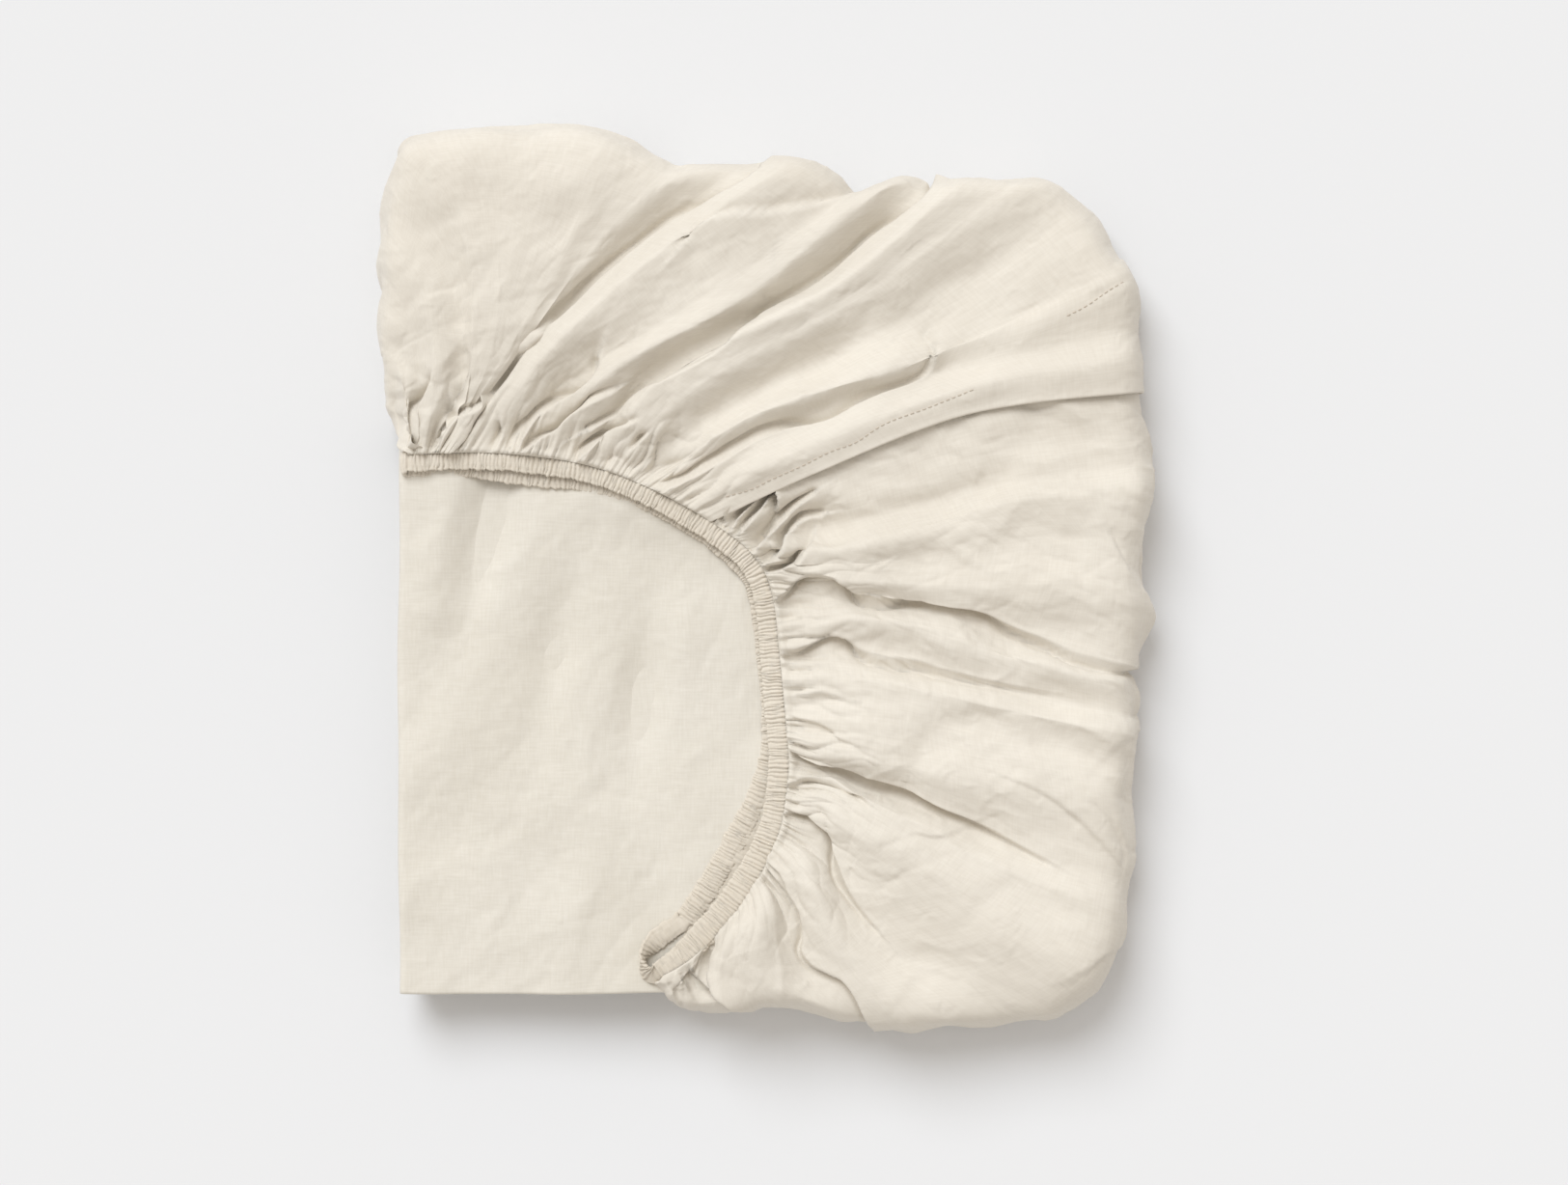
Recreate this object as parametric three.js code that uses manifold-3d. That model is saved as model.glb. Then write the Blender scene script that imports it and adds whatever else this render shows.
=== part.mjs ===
// A fitted bed sheet folded into a crumpled packet, lying on a flat surface with its gathered side up.
// Millimetres, +Z up. The origin is the middle of the packet on the surface; the smooth panel is at -X -Y.
import * as THREE from 'three';
import { mergeVertices } from 'three/addons/utils/BufferGeometryUtils.js';
import Module from 'manifold-3d';

const wasm = await Module();
wasm.setup();

// Driving sizes of the cloth and of the folded stack
const CLOTH = 3;
const LAYER = 2.6;
const LAYER_PITCH = 4.6;
const LAYERS = 8;
const BOTTOM_MIDDLE = 1.5;
const ROLL_RADIUS = LAYER_PITCH / 2;
const STACK_TOP = BOTTOM_MIDDLE + (LAYERS - 1) * LAYER_PITCH + LAYER / 2;
const LOWER_SKIRT_MIDDLE = BOTTOM_MIDDLE + LAYERS * LAYER_PITCH;

// Driving sizes of the gathered elastic
const ELASTIC_WIDTH = 12;
const ELASTIC_THICK = 4;
const ELASTIC_GAP = 0.4;
const ELASTIC_SIDE_GAP = 0.6;
const ELASTIC_CORNER = 0.82;
const GATHER_PITCH = 5.2;
const GATHER_DEPTH = 0.75;
const INNER_RUN_MIDDLE = STACK_TOP + ELASTIC_GAP + ELASTIC_THICK / 2;
const OUTER_RUN_MIDDLE = INNER_RUN_MIDDLE + ELASTIC_THICK + 2 * ELASTIC_GAP;
const HEM_TOP = OUTER_RUN_MIDDLE + CLOTH / 2;
const CLOTH_FROM_ELASTIC = ELASTIC_WIDTH / 2 + ELASTIC_SIDE_GAP;

// Sizes of the rounded outer wall of the skirt
const LOWEST_VALLEY = HEM_TOP + 0.1;
const WALL_BEND = { top: 10, inset: 1.5 };
const WALL_FOOT = { top: 1.5, inset: 4.5 };
const PLATE_INSET = 3.6;

// Rows of numbers as objects with named columns
function table(columns, rows) {
  return rows.map((row) => Object.fromEntries(columns.map((name, i) => [name, row[i]])));
}

// Middle line of the hem's upper run, from the left end to the loop at the tip
const OUTER_RUN = table(['x', 'y'], [
  [-193, 62], [-152, 63], [-126, 61], [-100, 57], [-75, 49], [-49, 36.5], [-28, 24], [-13, 12.5],
  [-4.5, 1.5], [0, -12], [3.5, -42], [6.5, -74], [8.5, -95], [7.5, -115], [3.5, -136], [-5.5, -157],
  [-19, -178], [-38, -198.5], [-48.5, -206.5], [-57, -211],
]);

// Middle line of the hem's lower run, which shows below the upper one at the left and beside it near the tip
const INNER_RUN = table(['x', 'y'], [
  [-193, 60], [-163, 60], [-147, 57.5], [-121, 54], [-100, 52.5], [-75, 46.5], [-50, 34.5], [-30, 22],
  [-16, 10], [-7, 0], [-3, -14], [1, -45], [3.5, -73], [2.5, -95], [-2, -112], [-9, -128], [-18.5, -146],
  [-31, -168], [-43, -185], [-53, -198], [-61, -206],
]);

// Silhouette of the gathered skirt, from the hem's left end round the back and the right to the tip
const SKIRT_EDGE = table(['x', 'y'], [
  [-200.5, 72], [-204.5, 92.5], [-208, 121], [-209.8, 155], [-210.3, 176], [-206, 207], [-201.5, 228],
  [-196, 236], [-178.5, 242], [-142, 245.4], [-100.5, 244.5], [-76, 238], [-57, 228], [-48.5, 223.5],
  [-38, 224.5], [-12, 228], [19, 227], [41, 218.5], [52.5, 211], [61, 214], [74, 217.5], [102, 215.5],
  [133.5, 217], [159.5, 213], [175, 199], [190.5, 178.5], [200.5, 165.5], [203, 134], [205.5, 103],
  [210.3, 72], [209, 40], [206, 9.5], [207, -11.5], [204.5, -42.5], [202, -53], [205.7, -79], [200, -105],
  [200, -146.5], [197, -175], [192, -204], [183, -219.5], [159.5, -237.5], [138.5, -241.5], [107.5, -244],
  [55.5, -245.4], [24, -236], [8.5, -234], [-2, -234.5], [-19, -238.7], [-38, -237.5], [-51, -230],
  [-60, -219.5], [-67, -211],
]);

// Left, bottom and back limits of the flat stack at steps along Y; the left one is the panel's folded edge
const STACK_STEPS = table(['y', 'left', 'right'], [
  [-225, -198.5, 146], [-205, -198.5, 170], [-160, -199, 182], [-110, -198.5, 184], [-60, -199, 186],
  [0, -198, 188], [45, -197.5, 190], [62, -195, 190], [82, -187, 190], [130, -189, 186], [180, -189, 168],
  [200, -184, 150],
]);

// How far each left and right roll of the stack lies inside its limit, and how much it wanders
const ROLL_COLUMNS = ['inset', 'sway', 'phase'];
const LEFT_ROLLS = table(ROLL_COLUMNS, [[4.5, 1.6, 0.4], [2.6, 1.2, 2.1], [3.4, 1.4, 3.9], [0.6, 0.5, 5.2]]);
const RIGHT_ROLLS = table(ROLL_COLUMNS, [[2, 2, 1.1], [6, 2.5, 2.9], [3, 2, 4.3], [9, 3, 0.2]]);
const FRONT_INSETS = [3.4, 2.6, 4.2, 3.2, 1.6, 2.6, 0.8, 0];

// Folds of the upper skirt, in order along the hem. Each runs from the hem over a near and a far point to the
// silhouette; hemAt and edgeAt are distances along those two lines.
const FOLD_COLUMNS = [
  'fold', 'hemAt', 'nearX', 'nearY', 'nearTop', 'farX', 'farY', 'farTop', 'edgeAt', 'edgeTop', 'inset',
];
const UPPER_SKIRT = table(FOLD_COLUMNS, [
  ['left end', 1, -199, 72, 40, -200.5, 77, 33, 6, 18, 0],
  ['left ridge', 6, -193, 93, 52, -199, 117, 50, 50, 21, 0],
  ['left valley', 11, -187, 89, 46, -191, 130, 53, 76, 21, 0],
  ['second ridge', 17, -177, 104, 57, -183, 155, 58, 104, 22, 0],
  ['second valley', 23, -166, 97, 47, -168, 160, 55, 136, 22, 0],
  ['corner crest', 29, -158, 113, 58, -163, 196, 60, 172, 24, 0],
  ['soft back', 35, -150, 112, 58, -138, 196, 58, 225, 24, 0],
  ['back slope', 41, -147, 107, 56, -108, 176, 57.5, 283, 22, 0],
  ['valley shoulder', 46, -142, 106, 54, -88, 182, 54, 320, 20, 0],
  ['long valley', 53, -129, 121, 46, -69, 178, 46, 362, 18, 0],
  ['long ridge', 60, -119, 116, 57, -54, 175, 58, 392, 22, 0],
  ['pit valley', 69, -106, 103, 47, -38, 149, 53, 424, 18, 0],
  ['middle ridge', 83, -90, 103, 55, -12, 150, 57, 447, 22, 0],
  ['deep valley', 97, -69.5, 100.5, 46, 29, 160, 46, 467, 19, 0],
  ['deep ridge', 106, -59, 102, 58, 42, 158, 60, 487, 23, 0],
  ['wide shoulder', 114, -47, 95, 57, 58, 155, 57, 515, 23, 0],
  ['wide valley', 123, -28, 88, 48, 76, 139, 46.5, 550, 20, 0],
  ['back ridge', 134, -15, 82, 58, 97, 121, 57, 592, 23, 0],
  ['seam valley', 146, -4.5, 72, 50, 87, 108, 51, 628, 21, 0],
  ['seam crest', 158, 9, 62, 58.5, 107, 100, 59, 648, 23, 0],
  ['seam lip', 168, 24, 55, 55.5, 108, 88, 56, 663, 22, 0],
]);

// Folds of the right skirt, which starts tucked under the corner seam's lip and ends at the tip of the hem
const RIGHT_SKIRT = table(FOLD_COLUMNS, [
  ['tuck', 170, 14, 66, 46.5, 99, 98, 47, 656, 18, 2.4],
  ['under the lip', 176, 29, 51, 47.5, 112, 82, 48, 673, 20, 2.2],
  ['shaded slope', 186, 34, 28, 50, 123, 51, 53, 700, 22, 0],
  ['pocket ridge', 194, 45, 16, 55, 128, 39, 58, 720, 23, 0],
  ['pocket facet', 200, 50, 7, 52, 154, 20, 54, 745, 22, 0],
  ['hem bump', 208, 45, -2, 52, 149, -6, 57, 770, 23, 0],
  ['first valley', 222, 55, -9, 46, 139, -30, 50, 813, 19, 0],
  ['first ridge', 234, 58, -22, 56, 139, -45, 57, 824, 21, 0],
  ['second valley', 249, 53, -39, 47, 139, -61, 51, 838, 20, 0],
  ['broad ridge', 264, 55, -56, 57, 139, -74, 59, 852, 22, 0],
  ['broad back', 283, 55, -77, 58, 133, -90, 55, 866, 22, 0],
  ['broad shoulder', 298, 55, -97, 56, 139, -113, 58, 885, 23, 0],
  ['long valley', 307, 55, -108, 46.5, 139, -147, 50, 928, 20, 0],
  ['lower ridge', 316, 50, -117, 56, 128, -158, 57, 950, 22, 0],
  ['corner crest', 328, 45, -131, 57, 113, -174, 60, 985, 24, 0],
  ['curved valley', 341, 35, -149, 46.5, 55, -187, 49, 1038, 20, 0],
  ['front crest', 353, 22, -160, 57, 42, -199, 56, 1092, 23, 0],
  ['front valley', 367, 10, -174, 47, 23, -209, 49, 1124, 19, 0],
  ['front lobe', 380, -2, -181, 58, 1, -210, 56, 1166, 22, 0],
  ['lobe side', 393, -15, -189, 53, -17, -214, 53, 1196, 21, 0],
  ['tip valley', 413, -31, -202, 46, -35, -218, 44.5, 1218, 18, 0],
  ['tip ridge', 432, -46, -218, 46.5, -50, -224, 43.8, 1236, 17, 0],
  ['tip end', 443, -57.5, -218.5, 43.8, -60, -219.5, 38, 1249, 17, 0],
]);

const WIDE_FOLD = 30;
const COLUMNS = { wide: 3, narrow: 2 };
// Rows between the points of one fold line, and how far the cloth's thickness has turned inward at each point
const ROWS_PER_SPAN = [3, 4, 2, 2, 1, 1];
const SPANS_ON_TOP = 3;
const SPAN_LEAN = [0, 0, 0.35, 1, 1, 1, 1];
const SHOULDER = { reach: 15, share: 0.4, height: 0.72 };

// Steps and small margins of the stack, the lowest layer, the lower skirt and the elastic
const ROLL_STEPS = 4;
const STACK_WAVE = 1.3;
const FREE_END = 30;
const PLATE_POINTS = 90;
const PLATE_CORNER = { x: 5, y: 4 };
const TIP_MARGIN = 12;
const LOWER_SKIRT_POINTS = 44;
const LOWER_SKIRT_GAP = 0.5;
const LOWER_SKIRT_SHORT = 14;
const LOWER_SKIRT_BACK = table(['x', 'y'], [
  [150, -200], [172, -150], [172, 100], [150, 180], [-150, 185], [-186, 150],
]);
const LAYER_OVERLAP = 0.2;
const HIDDEN_RUN = 280;
const HIDDEN_STEP = 10;
const TURN_STEPS = 6;
const MERGE_DISTANCE = 1e-4;

const UP = new THREE.Vector3(0, 0, 1);

function lineThrough(points) {
  const places = points.map((p) => new THREE.Vector3(p.x, p.y, 0));
  const line = new THREE.CatmullRomCurve3(places, false, 'centripetal');
  line.arcLengthDivisions = 1000;
  return line;
}

function placeOn(line, distance) {
  const share = THREE.MathUtils.clamp(distance / line.getLength(), 0, 1);
  const along = line.getTangentAt(share);
  const leftward = new THREE.Vector3(-along.y, along.x, 0).normalize();
  return { point: line.getPointAt(share), along, leftward };
}

const outerLine = lineThrough(OUTER_RUN);
const innerLine = lineThrough(INNER_RUN);
const edgeLine = lineThrough(SKIRT_EDGE);

// Triangles that close a ring made of one line of points out and a second line back
function stripCap(ring) {
  const last = ring.length - 1;
  const triangles = [];
  for (let k = 0; k < ring.length / 2 - 1; k += 1) {
    triangles.push([k, k + 1, last - k - 1], [k, last - k - 1, last - k]);
  }
  return triangles;
}

// Triangles that close a ring lying roughly across Y, wound the same way as the ring
function crossCap(ring) {
  const flat = ring.map((p) => new THREE.Vector2(p.x, p.z));
  const turn = Math.sign(THREE.ShapeUtils.area(flat));
  return THREE.ShapeUtils.triangulateShape(flat, []).map(([a, b, c]) => {
    const same = Math.sign(THREE.ShapeUtils.area([flat[a], flat[b], flat[c]])) === turn;
    return same ? [a, b, c] : [a, c, b];
  });
}

// A closed solid between matching rings of points, capped at both ends or, without a cap, joined end to end
function solidOfRings(rings, cap) {
  const size = rings[0].length;
  const index = [];
  const spans = cap ? rings.length - 1 : rings.length;
  for (let r = 0; r < spans; r += 1) {
    const here = r * size;
    const next = ((r + 1) % rings.length) * size;
    for (let k = 0; k < size; k += 1) {
      const beside = (k + 1) % size;
      index.push(here + k, here + beside, next + beside, here + k, next + beside, next + k);
    }
  }
  if (cap) {
    const end = (rings.length - 1) * size;
    cap(rings[0]).forEach(([a, b, c]) => index.push(a, c, b));
    cap(rings.at(-1)).forEach(([a, b, c]) => index.push(end + a, end + b, end + c));
  }
  const geometry = new THREE.BufferGeometry();
  const positions = rings.flat().flatMap((p) => [p.x, p.y, p.z]);
  geometry.setAttribute('position', new THREE.Float32BufferAttribute(positions, 3));
  geometry.setIndex(index);
  return geometry;
}

function manifoldOf(geometry) {
  geometry.deleteAttribute('normal');
  geometry.deleteAttribute('uv');
  const merged = mergeVertices(geometry, MERGE_DISTANCE);
  const solid = new wasm.Manifold(new wasm.Mesh({
    numProp: 3,
    vertProperties: new Float32Array(merged.attributes.position.array),
    triVerts: new Uint32Array(merged.index.array),
  }));
  if (solid.status() !== 'NoError') throw new Error(`not a closed solid: ${solid.status()}`);
  if (solid.volume() <= 0) throw new Error('a solid is inside out');
  return solid;
}

function geometryOf(solid) {
  const mesh = solid.getMesh();
  const geometry = new THREE.BufferGeometry();
  geometry.setAttribute('position', new THREE.Float32BufferAttribute(mesh.vertProperties, 3));
  geometry.setIndex(Array.from(mesh.triVerts));
  return geometry;
}

// One fold line of the skirt between two rows of a fold table, as the points that shape it
function foldBetween(from, to, t) {
  const even = (name) => THREE.MathUtils.lerp(from[name], to[name], t);
  const smooth = (name) => THREE.MathUtils.lerp(from[name], to[name], THREE.MathUtils.smoothstep(t, 0, 1));
  const hem = placeOn(outerLine, even('hemAt'));
  const edge = placeOn(edgeLine, even('edgeAt'));
  const inward = edge.leftward.clone().negate();
  const start = hem.point.clone().addScaledVector(hem.leftward, CLOTH_FROM_ELASTIC).setZ(HEM_TOP);
  const near = new THREE.Vector3(even('nearX'), even('nearY'), smooth('nearTop'));
  const far = new THREE.Vector3(even('farX'), even('farY'), smooth('farTop'));
  const rim = edge.point.clone().addScaledVector(inward, even('inset')).setZ(smooth('edgeTop'));
  const reach = Math.min(SHOULDER.reach / rim.distanceTo(far), SHOULDER.share);
  const shoulder = rim.clone().lerp(far, reach);
  shoulder.z = THREE.MathUtils.lerp(rim.z, far.z, SHOULDER.height);
  const bend = rim.clone().addScaledVector(inward, WALL_BEND.inset).setZ(WALL_BEND.top);
  const foot = rim.clone().addScaledVector(inward, WALL_FOOT.inset).setZ(WALL_FOOT.top);
  return { shape: [start, near, far, shoulder, rim, bend, foot], far, inward };
}

// Outer and inner points down one fold line; the cloth's thickness turns from downward to inward at the wall
function clothRing({ shape, far, inward }) {
  const line = new THREE.CatmullRomCurve3(shape, false, 'centripetal');
  const outer = [];
  const inner = [];
  ROWS_PER_SPAN.forEach((rows, span) => {
    const last = span === ROWS_PER_SPAN.length - 1;
    for (let k = 0; k < rows + (last ? 1 : 0); k += 1) {
      const point = line.getPoint((span + k / rows) / ROWS_PER_SPAN.length);
      if (span < SPANS_ON_TOP) point.z = Math.max(point.z, Math.min(LOWEST_VALLEY, far.z));
      const lean = THREE.MathUtils.lerp(SPAN_LEAN[span], SPAN_LEAN[span + 1], k / rows) * Math.PI / 2;
      outer.push(point);
      const depth = UP.clone().multiplyScalar(-Math.cos(lean)).addScaledVector(inward, Math.sin(lean));
      inner.push(point.clone().addScaledVector(depth, CLOTH));
    }
  });
  return [...outer, ...inner.reverse()];
}

function skirtSolid(folds) {
  const rings = [];
  for (let i = 0; i < folds.length - 1; i += 1) {
    const columns = folds[i + 1].edgeAt - folds[i].edgeAt > WIDE_FOLD ? COLUMNS.wide : COLUMNS.narrow;
    for (let k = 0; k < columns; k += 1) {
      rings.push(clothRing(foldBetween(folds[i], folds[i + 1], k / columns)));
    }
  }
  rings.push(clothRing(foldBetween(folds.at(-2), folds.at(-1), 1)));
  return manifoldOf(solidOfRings(rings.reverse(), stripCap));
}

// The stack's middle line at one step: back and forth through its layers, with a round turn at each roll
function stackLine(step, stepNumber) {
  const line = [];
  const limit = (rolls, number, outward) => {
    const roll = rolls[number % rolls.length];
    const wander = roll.sway * Math.sin(STACK_WAVE * stepNumber + roll.phase);
    return -outward * (roll.inset + ROLL_RADIUS + LAYER / 2 + wander);
  };
  for (let layer = 0; layer < LAYERS; layer += 1) {
    const goesLeft = layer % 2 === 0;
    const z = BOTTOM_MIDDLE + layer * LAYER_PITCH;
    const y = step.y + (stepNumber === 0 ? FRONT_INSETS[layer] : 0);
    const pair = Math.floor(layer / 2);
    const left = step.left + limit(LEFT_ROLLS, pair, -1);
    const right = step.right + limit(RIGHT_ROLLS, pair, 1);
    const side = goesLeft ? left : right;
    const from = goesLeft ? right : left;
    const ends = layer === 0 ? [from - FREE_END, side] : [];
    line.push(...ends.map((x) => ({ x, y, z })));
    for (let k = layer === 0 ? 1 : 0; k <= ROLL_STEPS; k += 1) {
      const turn = (k / ROLL_STEPS) * Math.PI;
      const out = goesLeft ? -1 : 1;
      const rise = ROLL_RADIUS * (1 - Math.cos(turn));
      line.push({ x: side + out * ROLL_RADIUS * Math.sin(turn), y, z: z + rise });
    }
  }
  const top = line.at(-1);
  line.push({ x: top.x - FREE_END, y: top.y, z: top.z });
  return line;
}

// A band of the layer's thickness about a middle line in a plane across Y
function bandAbout(line) {
  const offset = (side) => line.map((p, i) => {
    const before = line[Math.max(i - 1, 0)];
    const after = line[Math.min(i + 1, line.length - 1)];
    const length = Math.hypot(after.x - before.x, after.z - before.z);
    const across = { x: -(after.z - before.z) / length, z: (after.x - before.x) / length };
    const half = side * LAYER / 2;
    return new THREE.Vector3(p.x + across.x * half, p.y, p.z + across.z * half);
  });
  return [...offset(1), ...offset(-1).reverse()];
}

function stackSolid() {
  const rings = STACK_STEPS.map((step, number) => bandAbout(stackLine(step, number)));
  return manifoldOf(solidOfRings(rings, crossCap));
}

// A level sheet inside an outline, between two heights
function levelSheet(outline, bottom, top) {
  const shape = new THREE.Shape(outline.map((p) => new THREE.Vector2(p.x, p.y)));
  const geometry = new THREE.ExtrudeGeometry(shape, { depth: top - bottom, bevelEnabled: false });
  geometry.translate(0, 0, bottom);
  return manifoldOf(geometry);
}

// The lowest layer, which the packet lies on: the silhouette drawn in, closed along the panel's folds
function lowestLayer() {
  const length = edgeLine.getLength();
  const outline = [];
  for (let k = 0; k <= PLATE_POINTS; k += 1) {
    const { point, leftward } = placeOn(edgeLine, (k / PLATE_POINTS) * (length - TIP_MARGIN));
    outline.push(point.addScaledVector(leftward, -PLATE_INSET));
  }
  const front = STACK_STEPS[0];
  outline.push({ x: front.left + PLATE_CORNER.x, y: front.y + PLATE_CORNER.y });
  outline.push({ x: front.left + PLATE_CORNER.x, y: SKIRT_EDGE[0].y });
  return levelSheet(outline, 0, CLOTH);
}

// The skirt layer under the upper one, from the hem's lower run to the stack's right rolls
function lowerSkirt() {
  const length = innerLine.getLength();
  const outline = [];
  for (let k = 0; k <= LOWER_SKIRT_POINTS; k += 1) {
    const { point, leftward } = placeOn(innerLine, (k / LOWER_SKIRT_POINTS) * (length - LOWER_SKIRT_SHORT));
    outline.push(point.addScaledVector(leftward, CLOTH_FROM_ELASTIC + LOWER_SKIRT_GAP));
  }
  outline.push(...LOWER_SKIRT_BACK);
  const half = LAYER / 2 - LAYER_OVERLAP;
  return levelSheet(outline, LOWER_SKIRT_MIDDLE - half, LOWER_SKIRT_MIDDLE + half);
}

// One cross-section of the gathered elastic at a point, flat side towards facing
function elasticRing(centre, sideways, facing, number, gathered) {
  const squeeze = gathered && number % 2 === 1 ? GATHER_DEPTH : 1;
  const half = ELASTIC_THICK / 2 * squeeze;
  const corner = ELASTIC_CORNER;
  const shape = [[-1, 0], [-corner, 1], [corner, 1], [1, 0], [corner, -1], [-corner, -1]];
  return shape.map(([across, out]) => centre.clone()
    .addScaledVector(sideways, across * ELASTIC_WIDTH / 2)
    .addScaledVector(facing, out * half));
}

// The elastic's closed loop: the upper run, a turn at the tip, the lower run back and a turn at the left end
function elasticSolid() {
  const rings = [];
  const runs = [
    { line: outerLine, z: OUTER_RUN_MIDDLE, facing: UP.clone(), hiddenUntil: 0 },
    { line: innerLine, z: INNER_RUN_MIDDLE, facing: UP.clone().negate(), hiddenUntil: HIDDEN_RUN },
  ];
  const ends = runs.map(({ line, z }) => [0, line.getLength()].map((distance) => {
    const { point, along, leftward } = placeOn(line, distance);
    return { point: point.setZ(z), along, leftward };
  }));
  const runRings = ({ line, z, facing, hiddenUntil }) => {
    const list = [];
    const length = line.getLength();
    let distance = 0;
    for (let number = 0; distance <= length; number += 1) {
      const { point, leftward } = placeOn(line, distance);
      const gathered = distance >= hiddenUntil;
      list.push(elasticRing(point.setZ(z), leftward, facing, number, gathered));
      distance += gathered ? GATHER_PITCH / 2 : HIDDEN_STEP;
    }
    return list;
  };
  const turnRings = (from, to, sign) => {
    const list = [];
    for (let k = 1; k < TURN_STEPS; k += 1) {
      const share = k / TURN_STEPS;
      const turn = share * Math.PI;
      const along = from.along.clone().lerp(to.along, share).multiplyScalar(sign).normalize();
      const sideways = from.leftward.clone().lerp(to.leftward, share).normalize();
      const facing = UP.clone().multiplyScalar(Math.cos(turn)).addScaledVector(along, Math.sin(turn));
      const radius = (from.point.z - to.point.z) / 2;
      const centre = from.point.clone().lerp(to.point, share).setZ((from.point.z + to.point.z) / 2);
      centre.addScaledVector(facing, radius);
      list.push(elasticRing(centre, sideways, facing, k, true));
    }
    return list;
  };
  rings.push(...runRings(runs[0]));
  rings.push(...turnRings(ends[0][1], ends[1][1], 1));
  rings.push(...runRings(runs[1]).reverse());
  rings.push(...turnRings(ends[0][0], ends[1][0], -1).reverse());
  return manifoldOf(solidOfRings(rings.reverse(), null));
}

const cloth = [lowestLayer(), stackSolid(), lowerSkirt(), skirtSolid(UPPER_SKIRT), skirtSolid(RIGHT_SKIRT)]
  .reduce((whole, piece) => whole.add(piece));

const cotton = new THREE.MeshStandardMaterial({ color: 0xe9e1d2, roughness: 0.92, metalness: 0 });
const gatheredCotton = new THREE.MeshStandardMaterial({ color: 0xe4dccb, roughness: 0.95, metalness: 0 });

function piece(name, solid, material) {
  const mesh = new THREE.Mesh(geometryOf(solid), material);
  mesh.name = name;
  return mesh;
}

const fittedSheet = new THREE.Group();
fittedSheet.add(piece('sheet_cloth', cloth, cotton));
fittedSheet.add(piece('elastic_band', elasticSolid(), gatheredCotton));

export default fittedSheet;
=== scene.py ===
"""The looks of a crumpled fitted sheet, folded into a packet and lying on a pale floor.

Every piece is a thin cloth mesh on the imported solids. Sizes are in millimetres until a mesh is made, and the
axes are the frame's: +Z up, +Y towards the top of the picture, +X to its right.
"""
import math

import bpy
import numpy as np
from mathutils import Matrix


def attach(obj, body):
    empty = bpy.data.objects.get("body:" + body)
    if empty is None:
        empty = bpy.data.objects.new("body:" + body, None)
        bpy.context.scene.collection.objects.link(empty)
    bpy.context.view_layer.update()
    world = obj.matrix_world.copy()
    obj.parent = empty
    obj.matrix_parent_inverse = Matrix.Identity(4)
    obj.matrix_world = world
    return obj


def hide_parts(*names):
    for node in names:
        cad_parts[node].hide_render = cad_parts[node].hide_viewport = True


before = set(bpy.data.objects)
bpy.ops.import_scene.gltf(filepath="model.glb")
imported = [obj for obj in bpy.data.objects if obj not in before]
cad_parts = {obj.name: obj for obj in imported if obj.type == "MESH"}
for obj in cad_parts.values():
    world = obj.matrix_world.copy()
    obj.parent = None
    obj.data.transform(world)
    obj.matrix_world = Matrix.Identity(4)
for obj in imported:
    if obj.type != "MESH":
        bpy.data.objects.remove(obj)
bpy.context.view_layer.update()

METRES_PER_MM = 0.001
CLOTH_NODE = "sheet_cloth"
ELASTIC_NODE = "elastic_band"

# Places read in the photograph, as pixels of its 1625 by 1228 frame, and how they become millimetres
PHOTO_MIDDLE = (793.5, 598.0)
MM_PER_PIXEL = 0.52

# The stack under the smooth panel, and the gathered elastic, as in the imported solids
LAYER = 2.6
LAYER_PITCH = 4.6
LAYERS = 8
BOTTOM_MIDDLE = 1.5
STACK_TOP = BOTTOM_MIDDLE + (LAYERS - 1) * LAYER_PITCH + LAYER / 2
ELASTIC_WIDTH = 12.0
ELASTIC_THICK = 4.0
ELASTIC_GAP = 0.4
INNER_RUN_MIDDLE = STACK_TOP + ELASTIC_GAP + ELASTIC_THICK / 2
OUTER_RUN_MIDDLE = INNER_RUN_MIDDLE + ELASTIC_THICK + 2 * ELASTIC_GAP
HEM_TOP = OUTER_RUN_MIDDLE + 1.5
CLOTH_FROM_ELASTIC = ELASTIC_WIDTH / 2 - 2.0
RIB_PITCH = 2.0

# Middle line of the hem's upper run, from the left end to the loop at the tip
OUTER_RUN = [
    (-193, 62), (-152, 63), (-126, 61), (-100, 57), (-75, 49), (-49, 36.5), (-28, 24), (-13, 12.5),
    (-4.5, 1.5), (0, -12), (3.5, -42), (6.5, -74), (8.5, -95), (7.5, -115), (3.5, -136), (-5.5, -157),
    (-19, -178), (-38, -198.5), (-48.5, -206.5), (-57, -211),
]

# Middle line of the hem's lower run, which shows below the upper one at the left and beside it near the tip
INNER_RUN = [
    (-193, 60), (-163, 60), (-147, 57.5), (-121, 54), (-100, 52.5), (-75, 46.5), (-50, 34.5), (-30, 22),
    (-16, 10), (-7, 0), (-3, -14), (1, -45), (3.5, -73), (2.5, -95), (-2, -112), (-9, -128), (-18.5, -146),
    (-31, -168), (-43, -185), (-53, -198), (-61, -206),
]

# Middle line of the hem's turn round the open tip, with its height
TIP_TURN = [
    (-55, -211.2, 42.3), (-60.5, -214.2, 42.2), (-64.6, -212, 42), (-66, -207.2, 41.8), (-64.8, -202.8, 41.4),
    (-61.2, -198.2, 40.4), (-56.4, -193.6, 38.8),
]

# How wide the hem lies, by the distance along its upper and lower run: the casing spreads near the tip
OUTER_WIDTHS = [(0, 11.4), (120, 11.4), (220, 12.6), (330, 13.6), (385, 15.6), (418, 15), (440, 12)]
INNER_WIDTHS = [(0, 12), (300, 12), (380, 13), (430, 12)]

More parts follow.
